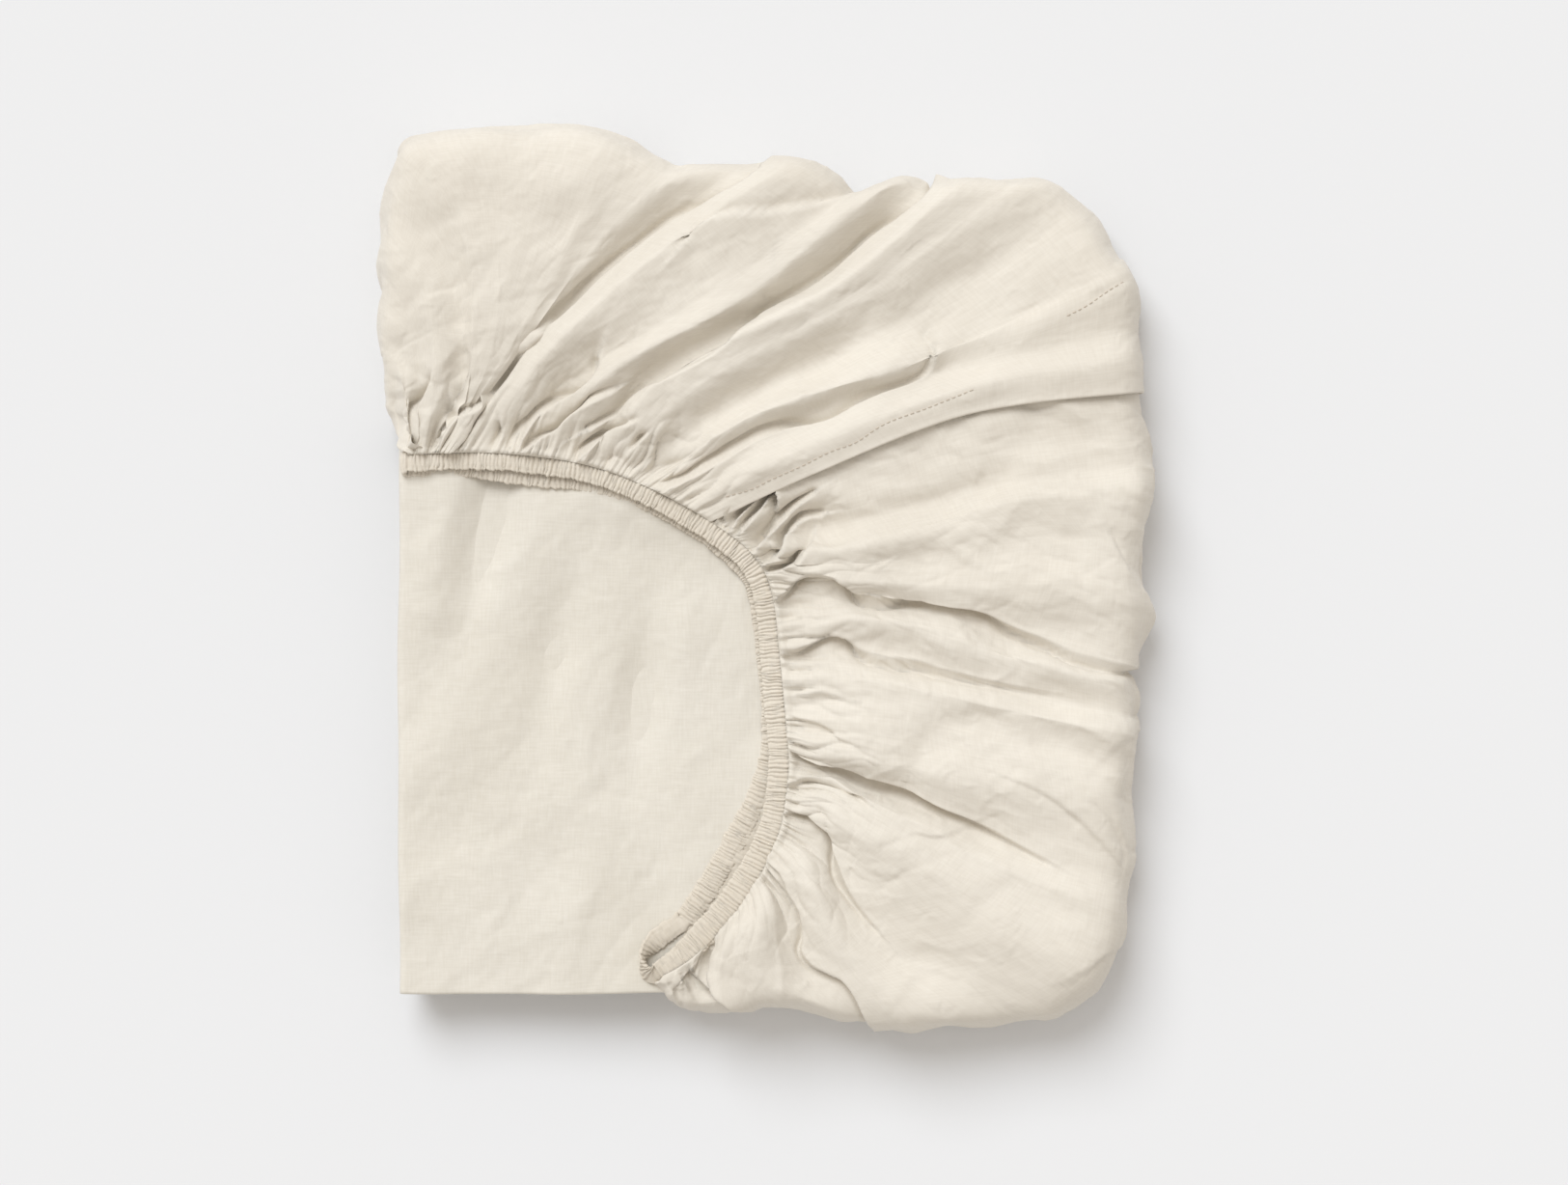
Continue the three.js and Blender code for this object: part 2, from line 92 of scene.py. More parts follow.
# Silhouette of the gathered skirt, from the hem's left end round the back and the right to the tip
SKIRT_EDGE = [
    (-200.5, 72), (-204.5, 92.5), (-208, 121), (-209.8, 155), (-210.3, 176), (-206, 207), (-201.5, 228),
    (-196, 236), (-178.5, 242), (-142, 245.4), (-100.5, 244.5), (-76, 238), (-57, 228), (-48.5, 223.5),
    (-38, 224.5), (-12, 228), (19, 227), (41, 218.5), (52.5, 211), (61, 214), (74, 217.5), (102, 215.5),
    (133.5, 217), (159.5, 213), (175, 199), (190.5, 178.5), (200.5, 165.5), (203, 134), (205.5, 103),
    (210.3, 72), (209, 40), (206, 9.5), (207, -11.5), (204.5, -42.5), (202, -53), (205.7, -79), (200, -105),
    (200, -146.5), (197, -175), (192, -204), (183, -219.5), (159.5, -237.5), (138.5, -241.5), (107.5, -244),
    (55.5, -245.4), (24, -236), (8.5, -234), (-2, -234.5), (-19, -238.7), (-38, -237.5), (-51, -230),
    (-60, -219.5), (-67, -211),
]

# The broad folds of the skirt. Each runs from the hem over a near and a far point to the silhouette.
RAY_COLUMNS = ("name", "hem_at", "near", "near_top", "far", "far_top", "edge_at", "edge_top", "inset")
UPPER_RAYS = [
    ("left end", 1, (-199, 72), 40, (-200.5, 77), 33, 6, 18, 0),
    ("left ridge", 4, (-193, 93), 52, (-199, 117), 50, 50, 21, 0),
    ("left valley", 6.5, (-187, 89), 48, (-191, 130), 53, 76, 21, 0),
    ("second ridge", 9, (-177, 104), 57, (-183, 155), 58, 104, 22, 0),
    ("second valley", 12, (-164, 99), 51, (-168, 160), 55, 136, 22, 0),
    ("corner crest", 14.5, (-158, 113), 58, (-163, 196), 60, 172, 24, 0),
    ("soft back", 17, (-150, 112), 58, (-138, 196), 58, 225, 24, 0),
    ("back slope", 19.5, (-147, 107), 56, (-108, 176), 57.5, 283, 22, 0),
    ("valley shoulder", 22, (-142, 106), 55, (-88, 182), 54, 320, 20, 0),
    ("long valley", 26, (-129, 121), 50, (-69, 178), 46, 362, 18, 0),
    ("long ridge", 44, (-119, 116), 57, (-54, 175), 58, 392, 22, 0),
    ("pit valley", 66, (-106, 103), 47, (-38, 149), 53, 424, 18, 0),
    ("middle ridge", 83, (-90, 103), 55, (-12, 150), 57, 447, 22, 0),
    ("deep valley", 97, (-69.5, 100.5), 46, (29, 160), 46, 467, 19, 0),
    ("deep ridge", 106, (-59, 102), 58, (42, 158), 60, 487, 23, 0),
    ("wide shoulder", 114, (-47, 95), 57, (58, 155), 57, 515, 23, 0),
    ("wide valley", 123, (-28, 88), 48, (76, 139), 46.5, 550, 20, 0),
    ("back ridge", 134, (-15, 82), 58, (97, 121), 57, 592, 23, 0),
    ("seam valley", 146, (-4.5, 72), 50, (87, 108), 51, 628, 21, 0),
    ("seam crest", 158, (9, 62), 58.5, (107, 100), 59, 648, 23, 0),
    ("seam lip", 168, (24, 55), 55.5, (108, 88), 56, 663, 22, 0),
]
RIGHT_RAYS = [
    ("tuck", 170, (14, 66), 50, (99, 98), 50, 656, 18, 2.4),
    ("under the lip", 176, (29, 51), 52, (112, 82), 52, 673, 20, 2.2),
    ("shaded slope", 186, (34, 28), 46.5, (123, 51), 50.5, 700, 21, 0),
    ("pocket ridge", 194, (45, 16), 56, (128, 39), 58, 720, 23, 0),
    ("pocket facet", 200, (50, 7), 52, (154, 20), 54, 745, 22, 0),
    ("hem bump", 208, (45, -2), 52, (149, -6), 57, 770, 23, 0),
    ("first valley", 222, (55, -9), 46, (139, -30), 50, 813, 19, 0),
    ("first ridge", 234, (58, -22), 56, (139, -45), 57, 824, 21, 0),
    ("second valley", 249, (53, -39), 47, (139, -61), 51, 838, 20, 0),
    ("broad ridge", 264, (55, -56), 57, (139, -74), 59, 852, 22, 0),
    ("broad back", 283, (55, -77), 58, (133, -90), 55, 866, 22, 0),
    ("broad shoulder", 298, (55, -97), 56, (139, -113), 58, 885, 23, 0),
    ("long valley", 307, (55, -108), 46.5, (139, -147), 50, 928, 20, 0),
    ("lower ridge", 316, (50, -117), 56, (128, -158), 57, 950, 22, 0),
    ("corner crest", 328, (45, -131), 57, (113, -174), 60, 985, 24, 0),
    ("curved valley", 341, (35, -149), 46.5, (55, -187), 49, 1038, 20, 0),
    ("front crest", 353, (22, -160), 57, (42, -199), 56, 1092, 23, 0),
    ("front valley", 367, (10, -174), 47, (23, -209), 49, 1124, 19, 0),
    ("front lobe", 378, (-4, -183), 58, (-4, -211), 56.5, 1170, 22, 0),
    ("lobe side", 396, (-20, -193), 55.5, (-24, -213), 55, 1203, 21, 0),
    ("tip valley", 412, (-31.5, -203), 43.5, (-36, -218.5), 42, 1219, 18, 0),
    ("tip ridge", 432, (-46, -218), 45, (-50, -224), 42.5, 1236, 17, 0),
    ("tip end", 443, (-57.5, -218.5), 43.8, (-60, -219.5), 38, 1249, 17, 0),
]

# The corner's seam where it shows on the upper skirt: along its lip, and again near the packet's right corner
SEAM_LINE = [
    (752, 515), (780, 507), (800, 497), (830, 484), (860, 469), (885, 460), (915, 441), (960, 424),
    (1010, 404),
]
CORNER_SEAM_LINE = [(1104, 329), (1125, 318), (1148, 302), (1168, 290)]

# The sharp folds and creases laid over the broad ones, each along a line read in the photograph. Height is
# below zero for a valley. Left and right are how far its sides reach, and strength is its share of the height
# at the start, the middle and the end of the line.
CREASE_COLUMNS = ("name", "height", "left", "right", "strength", "line")
UPPER_CREASES = [
    ("long valley", -6.4, 11, 4, (0.7, 1, 0.8),
     [(456, 462), (460, 448), (478, 430), (498, 422), (520, 400), (540, 372), (556, 349), (580, 330),
      (620, 290), (650, 264), (680, 240), (700, 225), (740, 203), (765, 190), (785, 172)]),
    ("long valley root", -4.5, 6, 3.2, (1, 1, 0), [(452, 463), (453, 452), (460, 438), (472, 425)]),
    ("left edge valley", -3, 5, 3, (1, 1, 0), [(408, 458), (412, 440), (418, 420), (421, 398), (420, 370)]),
    ("first gather", -8, 5, 2, (1, 1, 0), [(431, 464), (429, 446), (431, 426), (440, 410), (450, 384)]),
    ("first gather ridge", 3, 3, 3, (1, 1, 0), [(424, 464), (424, 430), (428, 398)]),
    ("second gather ridge", 1.5, 4, 4, (1, 1, 0),
     [(440, 464), (442, 444), (452, 424), (464, 404), (478, 388)]),
    ("lobe crease", -1.6, 6, 4, (0.3, 1, 0.3),
     [(422, 334), (432, 315), (452, 305), (480, 295), (492, 280), (512, 269)]),
    ("lobe fold", -1.1, 7, 5, (0.2, 1, 0.2), [(475, 185), (475, 220), (477, 255)]),
    ("lobe faint crease", -0.8, 3, 3, (0.2, 1, 0.2), [(500, 320), (540, 311), (572, 303)]),
    ("shoulder faint crease", -0.9, 3, 3, (0.2, 1, 0.2), [(578, 249), (600, 252), (622, 255)]),
    ("pit valley", -7, 9, 4, (1, 1, 0.5),
     [(536, 464), (545, 446), (560, 428), (580, 414), (600, 402), (614, 390), (619, 377)]),
    ("pit valley wedge", -8, 5, 2, (1, 1, 0.1), [(530, 464), (538, 449), (552, 435)]),
    ("pit gather", -7, 4, 1.8, (1, 1, 0.1), [(514, 462), (519, 450), (517, 434)]),
    ("hem wedge", -10, 6, 2.4, (1, 1, 0.2),
     [(548, 462), (560, 453), (577, 444), (590, 431), (603, 421), (640, 403)]),
    ("pit crease", -1.8, 3, 2.5, (1, 1, 0.2), [(616, 378), (619, 362), (625, 345)]),
    ("back fold", -5, 12, 4, (0.8, 1, 0.9),
     [(717, 243), (728, 231), (760, 222), (800, 221), (822, 216), (852, 211), (880, 200), (902, 188)]),
    ("back pit", -5, 3, 3, (0.6, 1, 0.8), [(712, 234), (715, 250), (720, 264)]),
    ("pit tail", -1.6, 3, 3, (1, 1, 0.2), [(720, 264), (727, 290), (732, 314)]),
    ("cross crease", -1.8, 3, 3, (0.6, 1, 0.3), [(804, 224), (803, 250), (799, 290)]),
    ("deep valley", -6.6, 11, 3.5, (0.7, 1, 0.9),
     [(612, 444), (640, 428), (665, 405), (690, 393), (720, 378), (735, 370), (760, 350), (800, 322),
      (840, 298), (880, 268), (900, 248), (940, 220), (962, 200), (970, 180)]),
    ("deep valley root", -11, 6, 2.5, (1, 1, 0),
     [(597, 484), (600, 473), (612, 460), (640, 444), (664, 434)]),
    ("hem curl", -4, 2.5, 2.5, (1, 1, 0.2), [(626, 490), (628, 478), (640, 474), (648, 482), (650, 494)]),
    ("small wedge", -7, 2.6, 1.3, (0.3, 1, 0.2), [(657, 464), (663, 457), (672, 449)]),
    ("wide valley", -3.8, 10, 7, (0.7, 1, 0.3),
     [(650, 490), (672, 478), (700, 466), (724, 460), (742, 442), (770, 420), (800, 404), (838, 386),
      (862, 367), (886, 340), (908, 314)]),
    ("wide valley facet", 2, 5, 5, (0.2, 1, 0.2), [(728, 470), (736, 452), (734, 436)]),
    ("overlap", -5, 4, 2.5, (1, 1, 0.1), [(656, 501), (680, 492), (692, 482), (706, 476), (726, 476)]),
    ("seam valley", -7.5, 10, 3, (1, 1, 0.35),
     [(668, 508), (700, 500), (722, 490), (745, 477), (765, 465), (790, 452), (820, 443), (840, 440),
      (862, 433), (880, 423), (900, 413), (922, 405), (944, 397), (958, 389), (966, 378), (968, 365),
      (965, 353), (957, 345)]),
    ("stitched seam", -0.6, 1.4, 1.4, (1, 1, 1), SEAM_LINE),
    ("right corner valley", -7.5, 15, 9, (0.6, 1, 0.5),
     [(984, 360), (1004, 350), (1030, 336), (1065, 318), (1100, 302), (1128, 290), (1150, 276)]),
    ("corner soft valley", -1.5, 12, 9, (0.2, 1, 0.3),
     [(925, 244), (962, 238), (1000, 228), (1040, 208), (1090, 200)]),
    ("corner soft crease", -1.4, 6, 5, (0.2, 1, 0.2), [(975, 256), (1005, 247), (1060, 240)]),
    ("corner stitch crease", -1.2, 3, 2, (0.2, 1, 0.6), CORNER_SEAM_LINE),
]
RIGHT_CREASES = [
    ("gather one", -10, 4, 2, (1, 1, 0.5), [(751, 547), (749, 535), (750, 522), (753, 514)]),
    ("gather two", -14, 4.5, 2, (1, 1, 0.6), [(757, 548), (763, 537), (771, 528), (784, 514), (790, 508)]),
    ("gather three", -15, 5, 2.2, (1, 1, 0.6),
     [(769, 549), (777, 538), (786, 528), (795, 514), (800, 506)]),
    ("gather four", -12, 4, 2, (0.3, 1, 0.8), [(804, 534), (804, 520), (802, 507), (806, 500)]),
    ("gather five", -15, 5.5, 2.2, (1, 1, 0.3),
     [(780, 572), (788, 562), (797, 552), (806, 543), (816, 533), (828, 522), (842, 512)]),
    ("gather six", -14, 4.5, 2.2, (1, 1, 0.3),
     [(792, 584), (802, 578), (810, 569), (813, 556), (820, 547), (832, 538), (850, 534)]),
    ("gather seven", -13, 4.5, 2.2, (1, 1, 0.2),
     [(798, 592), (810, 589), (822, 583), (833, 571), (840, 557)]),
    ("hem swirl", -6, 2.5, 1.4, (1, 1, 0.3), [(788, 582), (794, 576), (798, 570), (797, 563)]),
    ("pocket crest", 2, 7, 7, (0.2, 1, 0.3), [(838, 522), (880, 517), (930, 511), (976, 498), (984, 470)]),
    ("pocket valley", -4, 12, 7, (1, 1, 0.3),
     [(838, 556), (860, 556), (885, 553), (920, 546), (955, 538), (988, 528), (1010, 517), (1030, 500),
      (1045, 483), (1053, 466), (1085, 459), (1135, 455)]),
    ("pocket thin crease", -1.1, 3, 2, (0.2, 1, 0.2), [(958, 534), (990, 541), (1018, 542)]),
    ("facet ridge", 1.8, 6, 8, (0.2, 1, 0.2), [(1076, 498), (1050, 530), (1022, 560), (998, 578)]),
    ("facet valley", -2.4, 9, 5, (0.4, 1, 0.4), [(1136, 526), (1148, 550), (1163, 576), (1182, 604)]),
    ("first step", -8.5, 3, 16, (1, 1, 0.6),
     [(804, 623), (816, 614), (826, 603), (842, 598), (860, 600), (876, 608), (890, 617), (910, 620),
      (945, 620), (968, 623), (1000, 630), (1022, 638), (1045, 650), (1080, 664), (1110, 678),
      (1145, 687), (1186, 697)]),
    ("second step", -7, 3, 12, (0.9, 1, 0.2),
     [(806, 681), (825, 675), (845, 666), (862, 661), (876, 663), (888, 674), (905, 681), (925, 684),
      (950, 687), (975, 695), (1005, 702), (1040, 710), (1080, 718)]),
    ("second step end", -3.2, 6, 10, (0.3, 1, 0.9), [(1072, 724), (1110, 728), (1150, 736), (1194, 742)]),
    ("step ridge", 1.6, 4, 4, (0.2, 1, 0.2), [(1070, 737), (1100, 746), (1138, 760), (1160, 778)]),
    ("hem crease one", -2.4, 2, 2, (1, 1, 0), [(804, 640), (816, 639), (830, 635)]),
    ("hem crease two", -2.4, 2, 2.5, (1, 1, 0), [(808, 650), (825, 651), (838, 648), (848, 642)]),
    ("hem crease three", -2.4, 2, 2, (1, 1, 0), [(810, 690), (818, 686), (828, 682)]),
    ("hem crease four", -2.4, 2, 2, (1, 1, 0), [(812, 710), (822, 716), (832, 714), (840, 704)]),
    ("small step", -4, 2.5, 6, (1, 1, 0.1),
     [(818, 723), (835, 721), (850, 719), (866, 722), (884, 728), (900, 721)]),
    ("thin step", -3.4, 2, 4, (1, 1, 0.2),
     [(818, 740), (830, 745), (845, 749), (856, 754), (868, 763), (884, 772)]),
    ("belly step", -4.2, 8, 11, (0.6, 1, 0.7),
     [(945, 794), (955, 775), (975, 756), (1000, 748), (1030, 748), (1060, 755), (1085, 765), (1110, 780),
      (1134, 797), (1166, 824)]),
    ("long step", -8, 2.5, 14, (1, 1, 0.2),
     [(822, 778), (832, 783), (850, 788), (880, 797), (915, 809), (945, 820), (975, 836), (1005, 850),
      (1040, 868), (1084, 892)]),
    ("short step", -6, 2.5, 6, (1, 1, 0.1),
     [(816, 819), (825, 811), (840, 807), (858, 807), (873, 813), (886, 822), (902, 833)]),
    ("hem crease five", -2.4, 2, 2, (1, 1, 0), [(812, 832), (824, 834), (834, 829)]),
    ("curved valley", -7, 3.5, 10, (1, 1, 0.3),
     [(810, 846), (820, 842), (834, 845), (847, 854), (859, 867), (864, 885), (870, 905), (878, 922),
      (890, 941), (906, 960)]),
    ("curved valley end", -1.6, 7, 8, (0.6, 1, 0.2),
     [(900, 952), (916, 972), (942, 990), (980, 1002), (1016, 998)]),
    ("front valley", -6, 3, 9, (0.4, 0.8, 0.9),
     [(797, 893), (812, 903), (820, 925), (828, 945), (831, 968), (830, 985), (840, 1000), (858, 1010),
      (873, 1017), (884, 1032), (893, 1050), (906, 1074)]),
    ("front crest edge", 1.6, 5, 5, (0.3, 1, 0.6),
     [(796, 912), (800, 950), (806, 985), (810, 1020), (805, 1050)]),
    ("lobe root", -7, 4, 4, (0.6, 1, 0.5), [(760, 938), (750, 948), (742, 960), (737, 978)]),
    ("lobe foot", -9, 2.2, 6, (0.9, 1, 0.4),
     [(748, 955), (739, 976), (735, 998), (735, 1012), (742, 1030), (756, 1042), (776, 1049)]),
    ("tip gap", -10, 2.2, 7, (0.3, 1, 1), [(712, 998), (720, 1012), (730, 1025), (742, 1035), (752, 1040)]),
    ("tip gather", -4, 2.5, 1.3, (1, 1, 0.3), [(694, 1020), (700, 1030), (704, 1040)]),
    ("second tip gather", -4, 2.5, 1.3, (1, 1, 0.3), [(706, 1010), (713, 1022), (718, 1034)]),
    ("corner fold", -2.8, 3, 8, (0.4, 1, 0.5),
     [(1050, 808), (1078, 820), (1108, 842), (1132, 864), (1150, 884)]),
    ("corner facet", -1.8, 5, 8, (0.5, 1, 0.3),
     [(976, 972), (1000, 952), (1020, 932), (1040, 917), (1066, 908), (1096, 906)]),
    ("middle facet", -1.8, 2.5, 7, (0.3, 1, 0.3),
     [(930, 868), (948, 862), (968, 866), (1000, 855), (1024, 846)]),
    ("middle crease", -1.5, 5, 4, (0.2, 1, 0.2), [(905, 926), (938, 902), (968, 891)]),
    ("low facet", -1.8, 2.5, 6, (0.3, 1, 0.3), [(934, 1030), (950, 1012), (968, 1006), (982, 1010)]),
    ("cross facet", -1.6, 2.5, 6, (0.3, 1, 0.3),
     [(912, 980), (938, 988), (962, 982), (990, 986), (1012, 980)]),
    ("low corner ridge", -2.4, 2.5, 7, (0.4, 1, 0.4),
     [(1104, 1016), (1126, 1003), (1146, 990), (1166, 984)]),
    ("edge facet", -2.2, 2.5, 7, (0.4, 1, 0.4), [(1140, 838), (1156, 856), (1166, 880), (1164, 906)]),
]
PANEL_FOLDS = [
    ("side trough", -7.4, 11, 15, (1, 1, 0.1),
     [(521, 480), (510, 540), (494, 600), (480, 650), (468, 715)]),
    ("side crest", 2.2, 12, 9, (0.6, 1, 0.1), [(468, 480), (462, 560), (446, 640), (440, 700)]),
    ("middle trough", -9, 12, 16, (0.1, 1, 0.1), [(596, 560), (584, 640), (568, 720), (552, 800)]),
    ("right trough", -7.5, 12, 14, (0.1, 1, 0.1), [(674, 590), (670, 680), (662, 770), (648, 850)]),
    ("low trough", -2.6, 16, 20, (0.1, 1, 0.1), [(470, 800), (458, 860), (444, 950)]),
    ("low swell", 2.2, 16, 20, (0.1, 1, 0.1), [(600, 900), (590, 960), (560, 1010)]),
    ("hem trough", -3.4, 15, 17, (0.3, 1, 0.2),
     [(590, 545), (650, 560), (700, 592), (735, 640), (748, 700)]),
]
PANEL_CREASES = [
    ("corner crease", -0.6, 2, 3, (0.6, 1, 0.3), [(604, 1032), (640, 975), (672, 938), (700, 915)]),
    ("second corner crease", -0.5, 2, 2, (0.6, 1, 0.3), [(625, 1030), (662, 985), (684, 962)]),
    ("faint crease", -0.45, 2, 3, (0.2, 1, 0.2), [(560, 812), (600, 815), (640, 825), (700, 840)]),
    ("lower faint crease", -0.4, 2, 3, (0.2, 1, 0.2), [(470, 812), (530, 820), (590, 816)]),
    ("low faint crease", -0.4, 1.5, 2, (0.2, 1, 0.2), [(560, 960), (600, 955), (640, 940)]),
    ("slanting crease", -0.4, 1.5, 2, (0.2, 1, 0.2), [(500, 810), (540, 770), (560, 745)]),
]

# The skirt's mesh: rows in each span from the hem to the floor, the rows of its shoulder and its silhouette,
# and columns round the packet
ROWS_PER_SPAN = (40, 66, 24, 20, 10, 8)
SHOULDER_ROW = sum(ROWS_PER_SPAN[:3])
RIM_ROW = sum(ROWS_PER_SPAN[:4])
COLUMNS = 540

# How strong the small crumples and the hem's gathers are, by the distance along the hem, and the lobes that
# stay smoother there, as middle, half width and share
RUMPLED = ((168, 1), (175, 1.8), (225, 1.5), (290, 1.3), (320, 0.8))
GATHERED_HARD = ((168, 1), (205, 1.25), (345, 1.25), (368, 1), (384, 0.45))
SMOOTH_LOBES = ((41, 9, 0.55), (84, 6, 0.4), (186, 13, 0.55))

# How far the gathers sway, as a share of their pitch, how deep they dip between their lobes, how far from the
# hem both are full, and the distance over which the creases come in
GATHER_SWAY, SWAY_FULL_AT = 0.35, 30
GATHER_DIP, DIP_FULL_AT = 0.36, 5
HEM_FADE = 3.5

# The hem's gathers in five sizes: height, pitch, and the distances from the hem over which they rise and fade
HEM_GATHERS = ((5.0, 4.0, 1.6, 9), (12.0, 9, 6, 17), (4.5, 19, 8, 30), (1.0, 6.5, 8, 46), (2.0, 2.7, 1.1, 7))

# Seeded facets of the cloth: height, length and width, and on the skirt the turn from its grain in degrees.
# Then how many small creases the skirt and the panel have, and the heading of the facets on the skirt's side.
SKIRT_FACETS = ((0.95, 34, 15, 0), (0.45, 16, 8, 14), (0.26, 8, 4.4, -11))
PANEL_FACETS = ((1.6, 60, 32), (0.75, 24, 14), (0.24, 10, 6))
SKIRT_SMALL_CREASES = 320
PANEL_SMALL_CREASES = 170
SIDE_HEADING = 35

# Seeded swells: how many waves each has, and its height and wavelength on the skirt's top, on its side and on
# the panel
SWELL_WAVES = 14
TOP_SWELL, TOP_SWELL_LENGTH = 0.7, 46
SIDE_SWELL, SIDE_SWELL_LENGTH = 1.2, 40
PANEL_SWELL, PANEL_SWELL_LENGTH = 0.8, 70

# The skirt's side, and the shoulder above it: how far in it starts, as a length and at most as a share of the
# way to the crest, and its share of the crest's height
WALL_BEND = {"top": 10.0, "inset": 1.5}
WALL_FOOT = {"top": 1.0, "inset": 4.5}
SHOULDER = {"reach": 11.0, "most": 0.34, "height": 0.84}

# How low a valley may lie at the hem, how much lower farther out and how softly it is held there. Cloth well
# above that height, or near the shoulder, is free. Last, the least height of the skirt and of the layers.
LOWEST_TOP = 40.9
FLOOR_DROP, DROP_FROM, DROP_OVER = 4.3, 6, 8
FLOOR_SOFTNESS = 1.8
FREE_ABOVE, FREE_OVER = 5, 6
FREE_FROM_ROW, FREE_OVER_ROWS = SHOULDER_ROW - 24, 22
OFF_FLOOR = 0.5
UNDERSIDE = 0.45

# How much calmer the skirt is at its foot, and how many of its last columns, next to its turned edge, grow
# calmer down to which share
FOOT_CALM = 0.6
LAST_COLUMNS = 14
LAST_SHARE = 0.15

# The section of a crease: a trough from how wide, and a step from which ratio of its sides. Then the step's
# softness, its share below and above the cloth, the slot at its foot with its width and the height from which
# it is there, and how many widths a crease reaches.
BROAD = 7.0
STEP_RATIO = 1.8
STEP_WIDTH = 0.6
LOW_SIDE = 0.75
HIGH_SIDE = 0.3
SLOT = 0.55
SLOT_WIDTH = 1.5
SLOT_FROM = -5.0
CREASE_REACH = 4

# The edges of the smooth panel, how far it goes on under the skirt, and its mesh's step
PANEL_LEFT = -198.6
PANEL_FRONT = -225.0
PANEL_RIGHT = 30
PANEL_BACK = 78
PANEL_STEP = 1.25

# How clear the panel is of the stack at its roll and its front, how far in its edges wander, and their waves
# as height, length and phase
PANEL_CLEAR = 0.3
FRONT_CLEAR = 0.4
EDGE_REACH = 14
LEFT_SWAY = ((0.5, 47, 0), (0.35, 17, 1))
FRONT_SWAY = ((0.6, 39, 2), (0.25, 13, 0))

# The strip at the lower run: how far it tucks in, its height over the run's middle and at most, and its
# gathers as height, pitch, reach and seed
LOWER_TUCK = 0.4
LOWER_RISE = 0.6
LOWER_TOP = 39.8
LOWER_GATHERS = ((1.3, 3.4, 7, 71), (1.6, 8, 16, 72))

# The lowest layer's two left corners, its rise, and its swells as height, seed and wavelength
LOWEST_CORNERS = ((-193.0, -220.5), (-193.0, 60.0))
LOWEST_RISE = 0.75
LOWEST_SWELLS = ((0.35, 81, 50), (0.15, 82, 15))

# The sides of the folded layers by their place along Y, their length, and how far each front fold stays back
STACK_Y = (-225, -205, -160, -110, -60, 0, 45, 62, 82, 130, 180, 200)
STACK_LEFT = (-198.5, -198.5, -199, -198.5, -199, -198, -197.5, -195, -187, -189, -189, -184)
STACK_RIGHT = (146, 170, 182, 184, 186, 188, 190, 190, 190, 186, 168, 150)
STACK_LENGTH = 424
FRONT_INSETS = (3.4, 2.6, 4.2, 3.2, 1.6, 2.6, 0.8)

# The folds at each side, from the lowest up: inset, how far it wanders along the side, and its phase
LEFT_ROLLS = ((4.5, 1.6, 0.4), (2.6, 1.2, 2.1), (3.4, 1.4, 3.9), (0.6, 0.5, 5.2))
RIGHT_ROLLS = ((2, 2, 1.1), (6, 2.5, 2.9), (3, 2, 4.3))

# The ribbed elastic: its mesh, how much its ribs lean and pucker, how deep the grooves and how high the ribs
# are at its edges and on its faces, and the stitching near its edges
ELASTIC_STEP = 0.32
ELASTIC_RING = 26
RIB_LEAN, RIB_PUCKER = 0.55, 0.28
EDGE_GROOVE, EDGE_RIB = 0.9, 1.0
FACE_GROOVE, FACE_RIB = 1.75, 2.0
HEM_STITCH, HEM_STITCH_AT, HEM_STITCH_WIDTH = 0.35, 0.7, 0.06

# The stitches of the corner seam
STITCH_PITCH = 3.4
STITCH_LENGTH = 2.4

# The cotton: how far apart its threads are in metres, and the plain values of its shader
THREAD_PITCH = 0.0011
COTTON_SHADER = {"Roughness": 0.88, "Specular IOR Level": 0.2, "Sheen Weight": 0.18, "Sheen Roughness": 0.5}
TONE_RANGE = (0.36, 0.64)

UP = np.array([0.0, 0.0, 1.0])


def rows_of(columns, rows):
    """The rows of a table as dictionaries with named columns."""
    return [dict(zip(columns, row)) for row in rows]


def spots(pixels):
    """Places of the photograph in the frame's plan, in millimetres."""
    pixels = np.asarray(pixels, float)
    return np.stack([pixels[:, 0] - PHOTO_MIDDLE[0], PHOTO_MIDDLE[1] - pixels[:, 1]], 1) * MM_PER_PIXEL


def through(points, counts):
    """Smooth lines through control points on the last axis but one, with counts steps in each span."""
    points = np.asarray(points, float)
    first = 2 * points[..., :1, :] - points[..., 1:2, :]
    last = 2 * points[..., -1:, :] - points[..., -2:-1, :]
    control = np.concatenate([first, points, last], -2)
    gaps = np.sqrt(np.linalg.norm(np.diff(control, axis=-2), axis=-1)) + 1e-6
    parts = []
    for span, count in enumerate(counts):
        a, b, c, d = (control[..., span + k, :][..., None, :] for k in range(4))
        before, within, after = (gaps[..., span + k][..., None, None] for k in range(3))
        t = np.linspace(0, 1, count, endpoint=False)[:, None] * within
        ab = (b * (before + t) - a * t) / before
        bc = (b * (within - t) + c * t) / within
        cd = (c * (within + after - t) + d * (t - within)) / after
        abc = (ab * (within - t) + bc * (before + t)) / (before + within)
        bcd = (bc * (within + after - t) + cd * t) / (within + after)
        parts.append((abc * (within - t) + bcd * t) / within)
    parts.append(points[..., -1:, :])
    return np.concatenate(parts, -2)


def marks_along(points):
    """How far the points of a line are from its start."""
    return np.concatenate([[0], np.cumsum(np.linalg.norm(np.diff(points, axis=0), axis=1))])


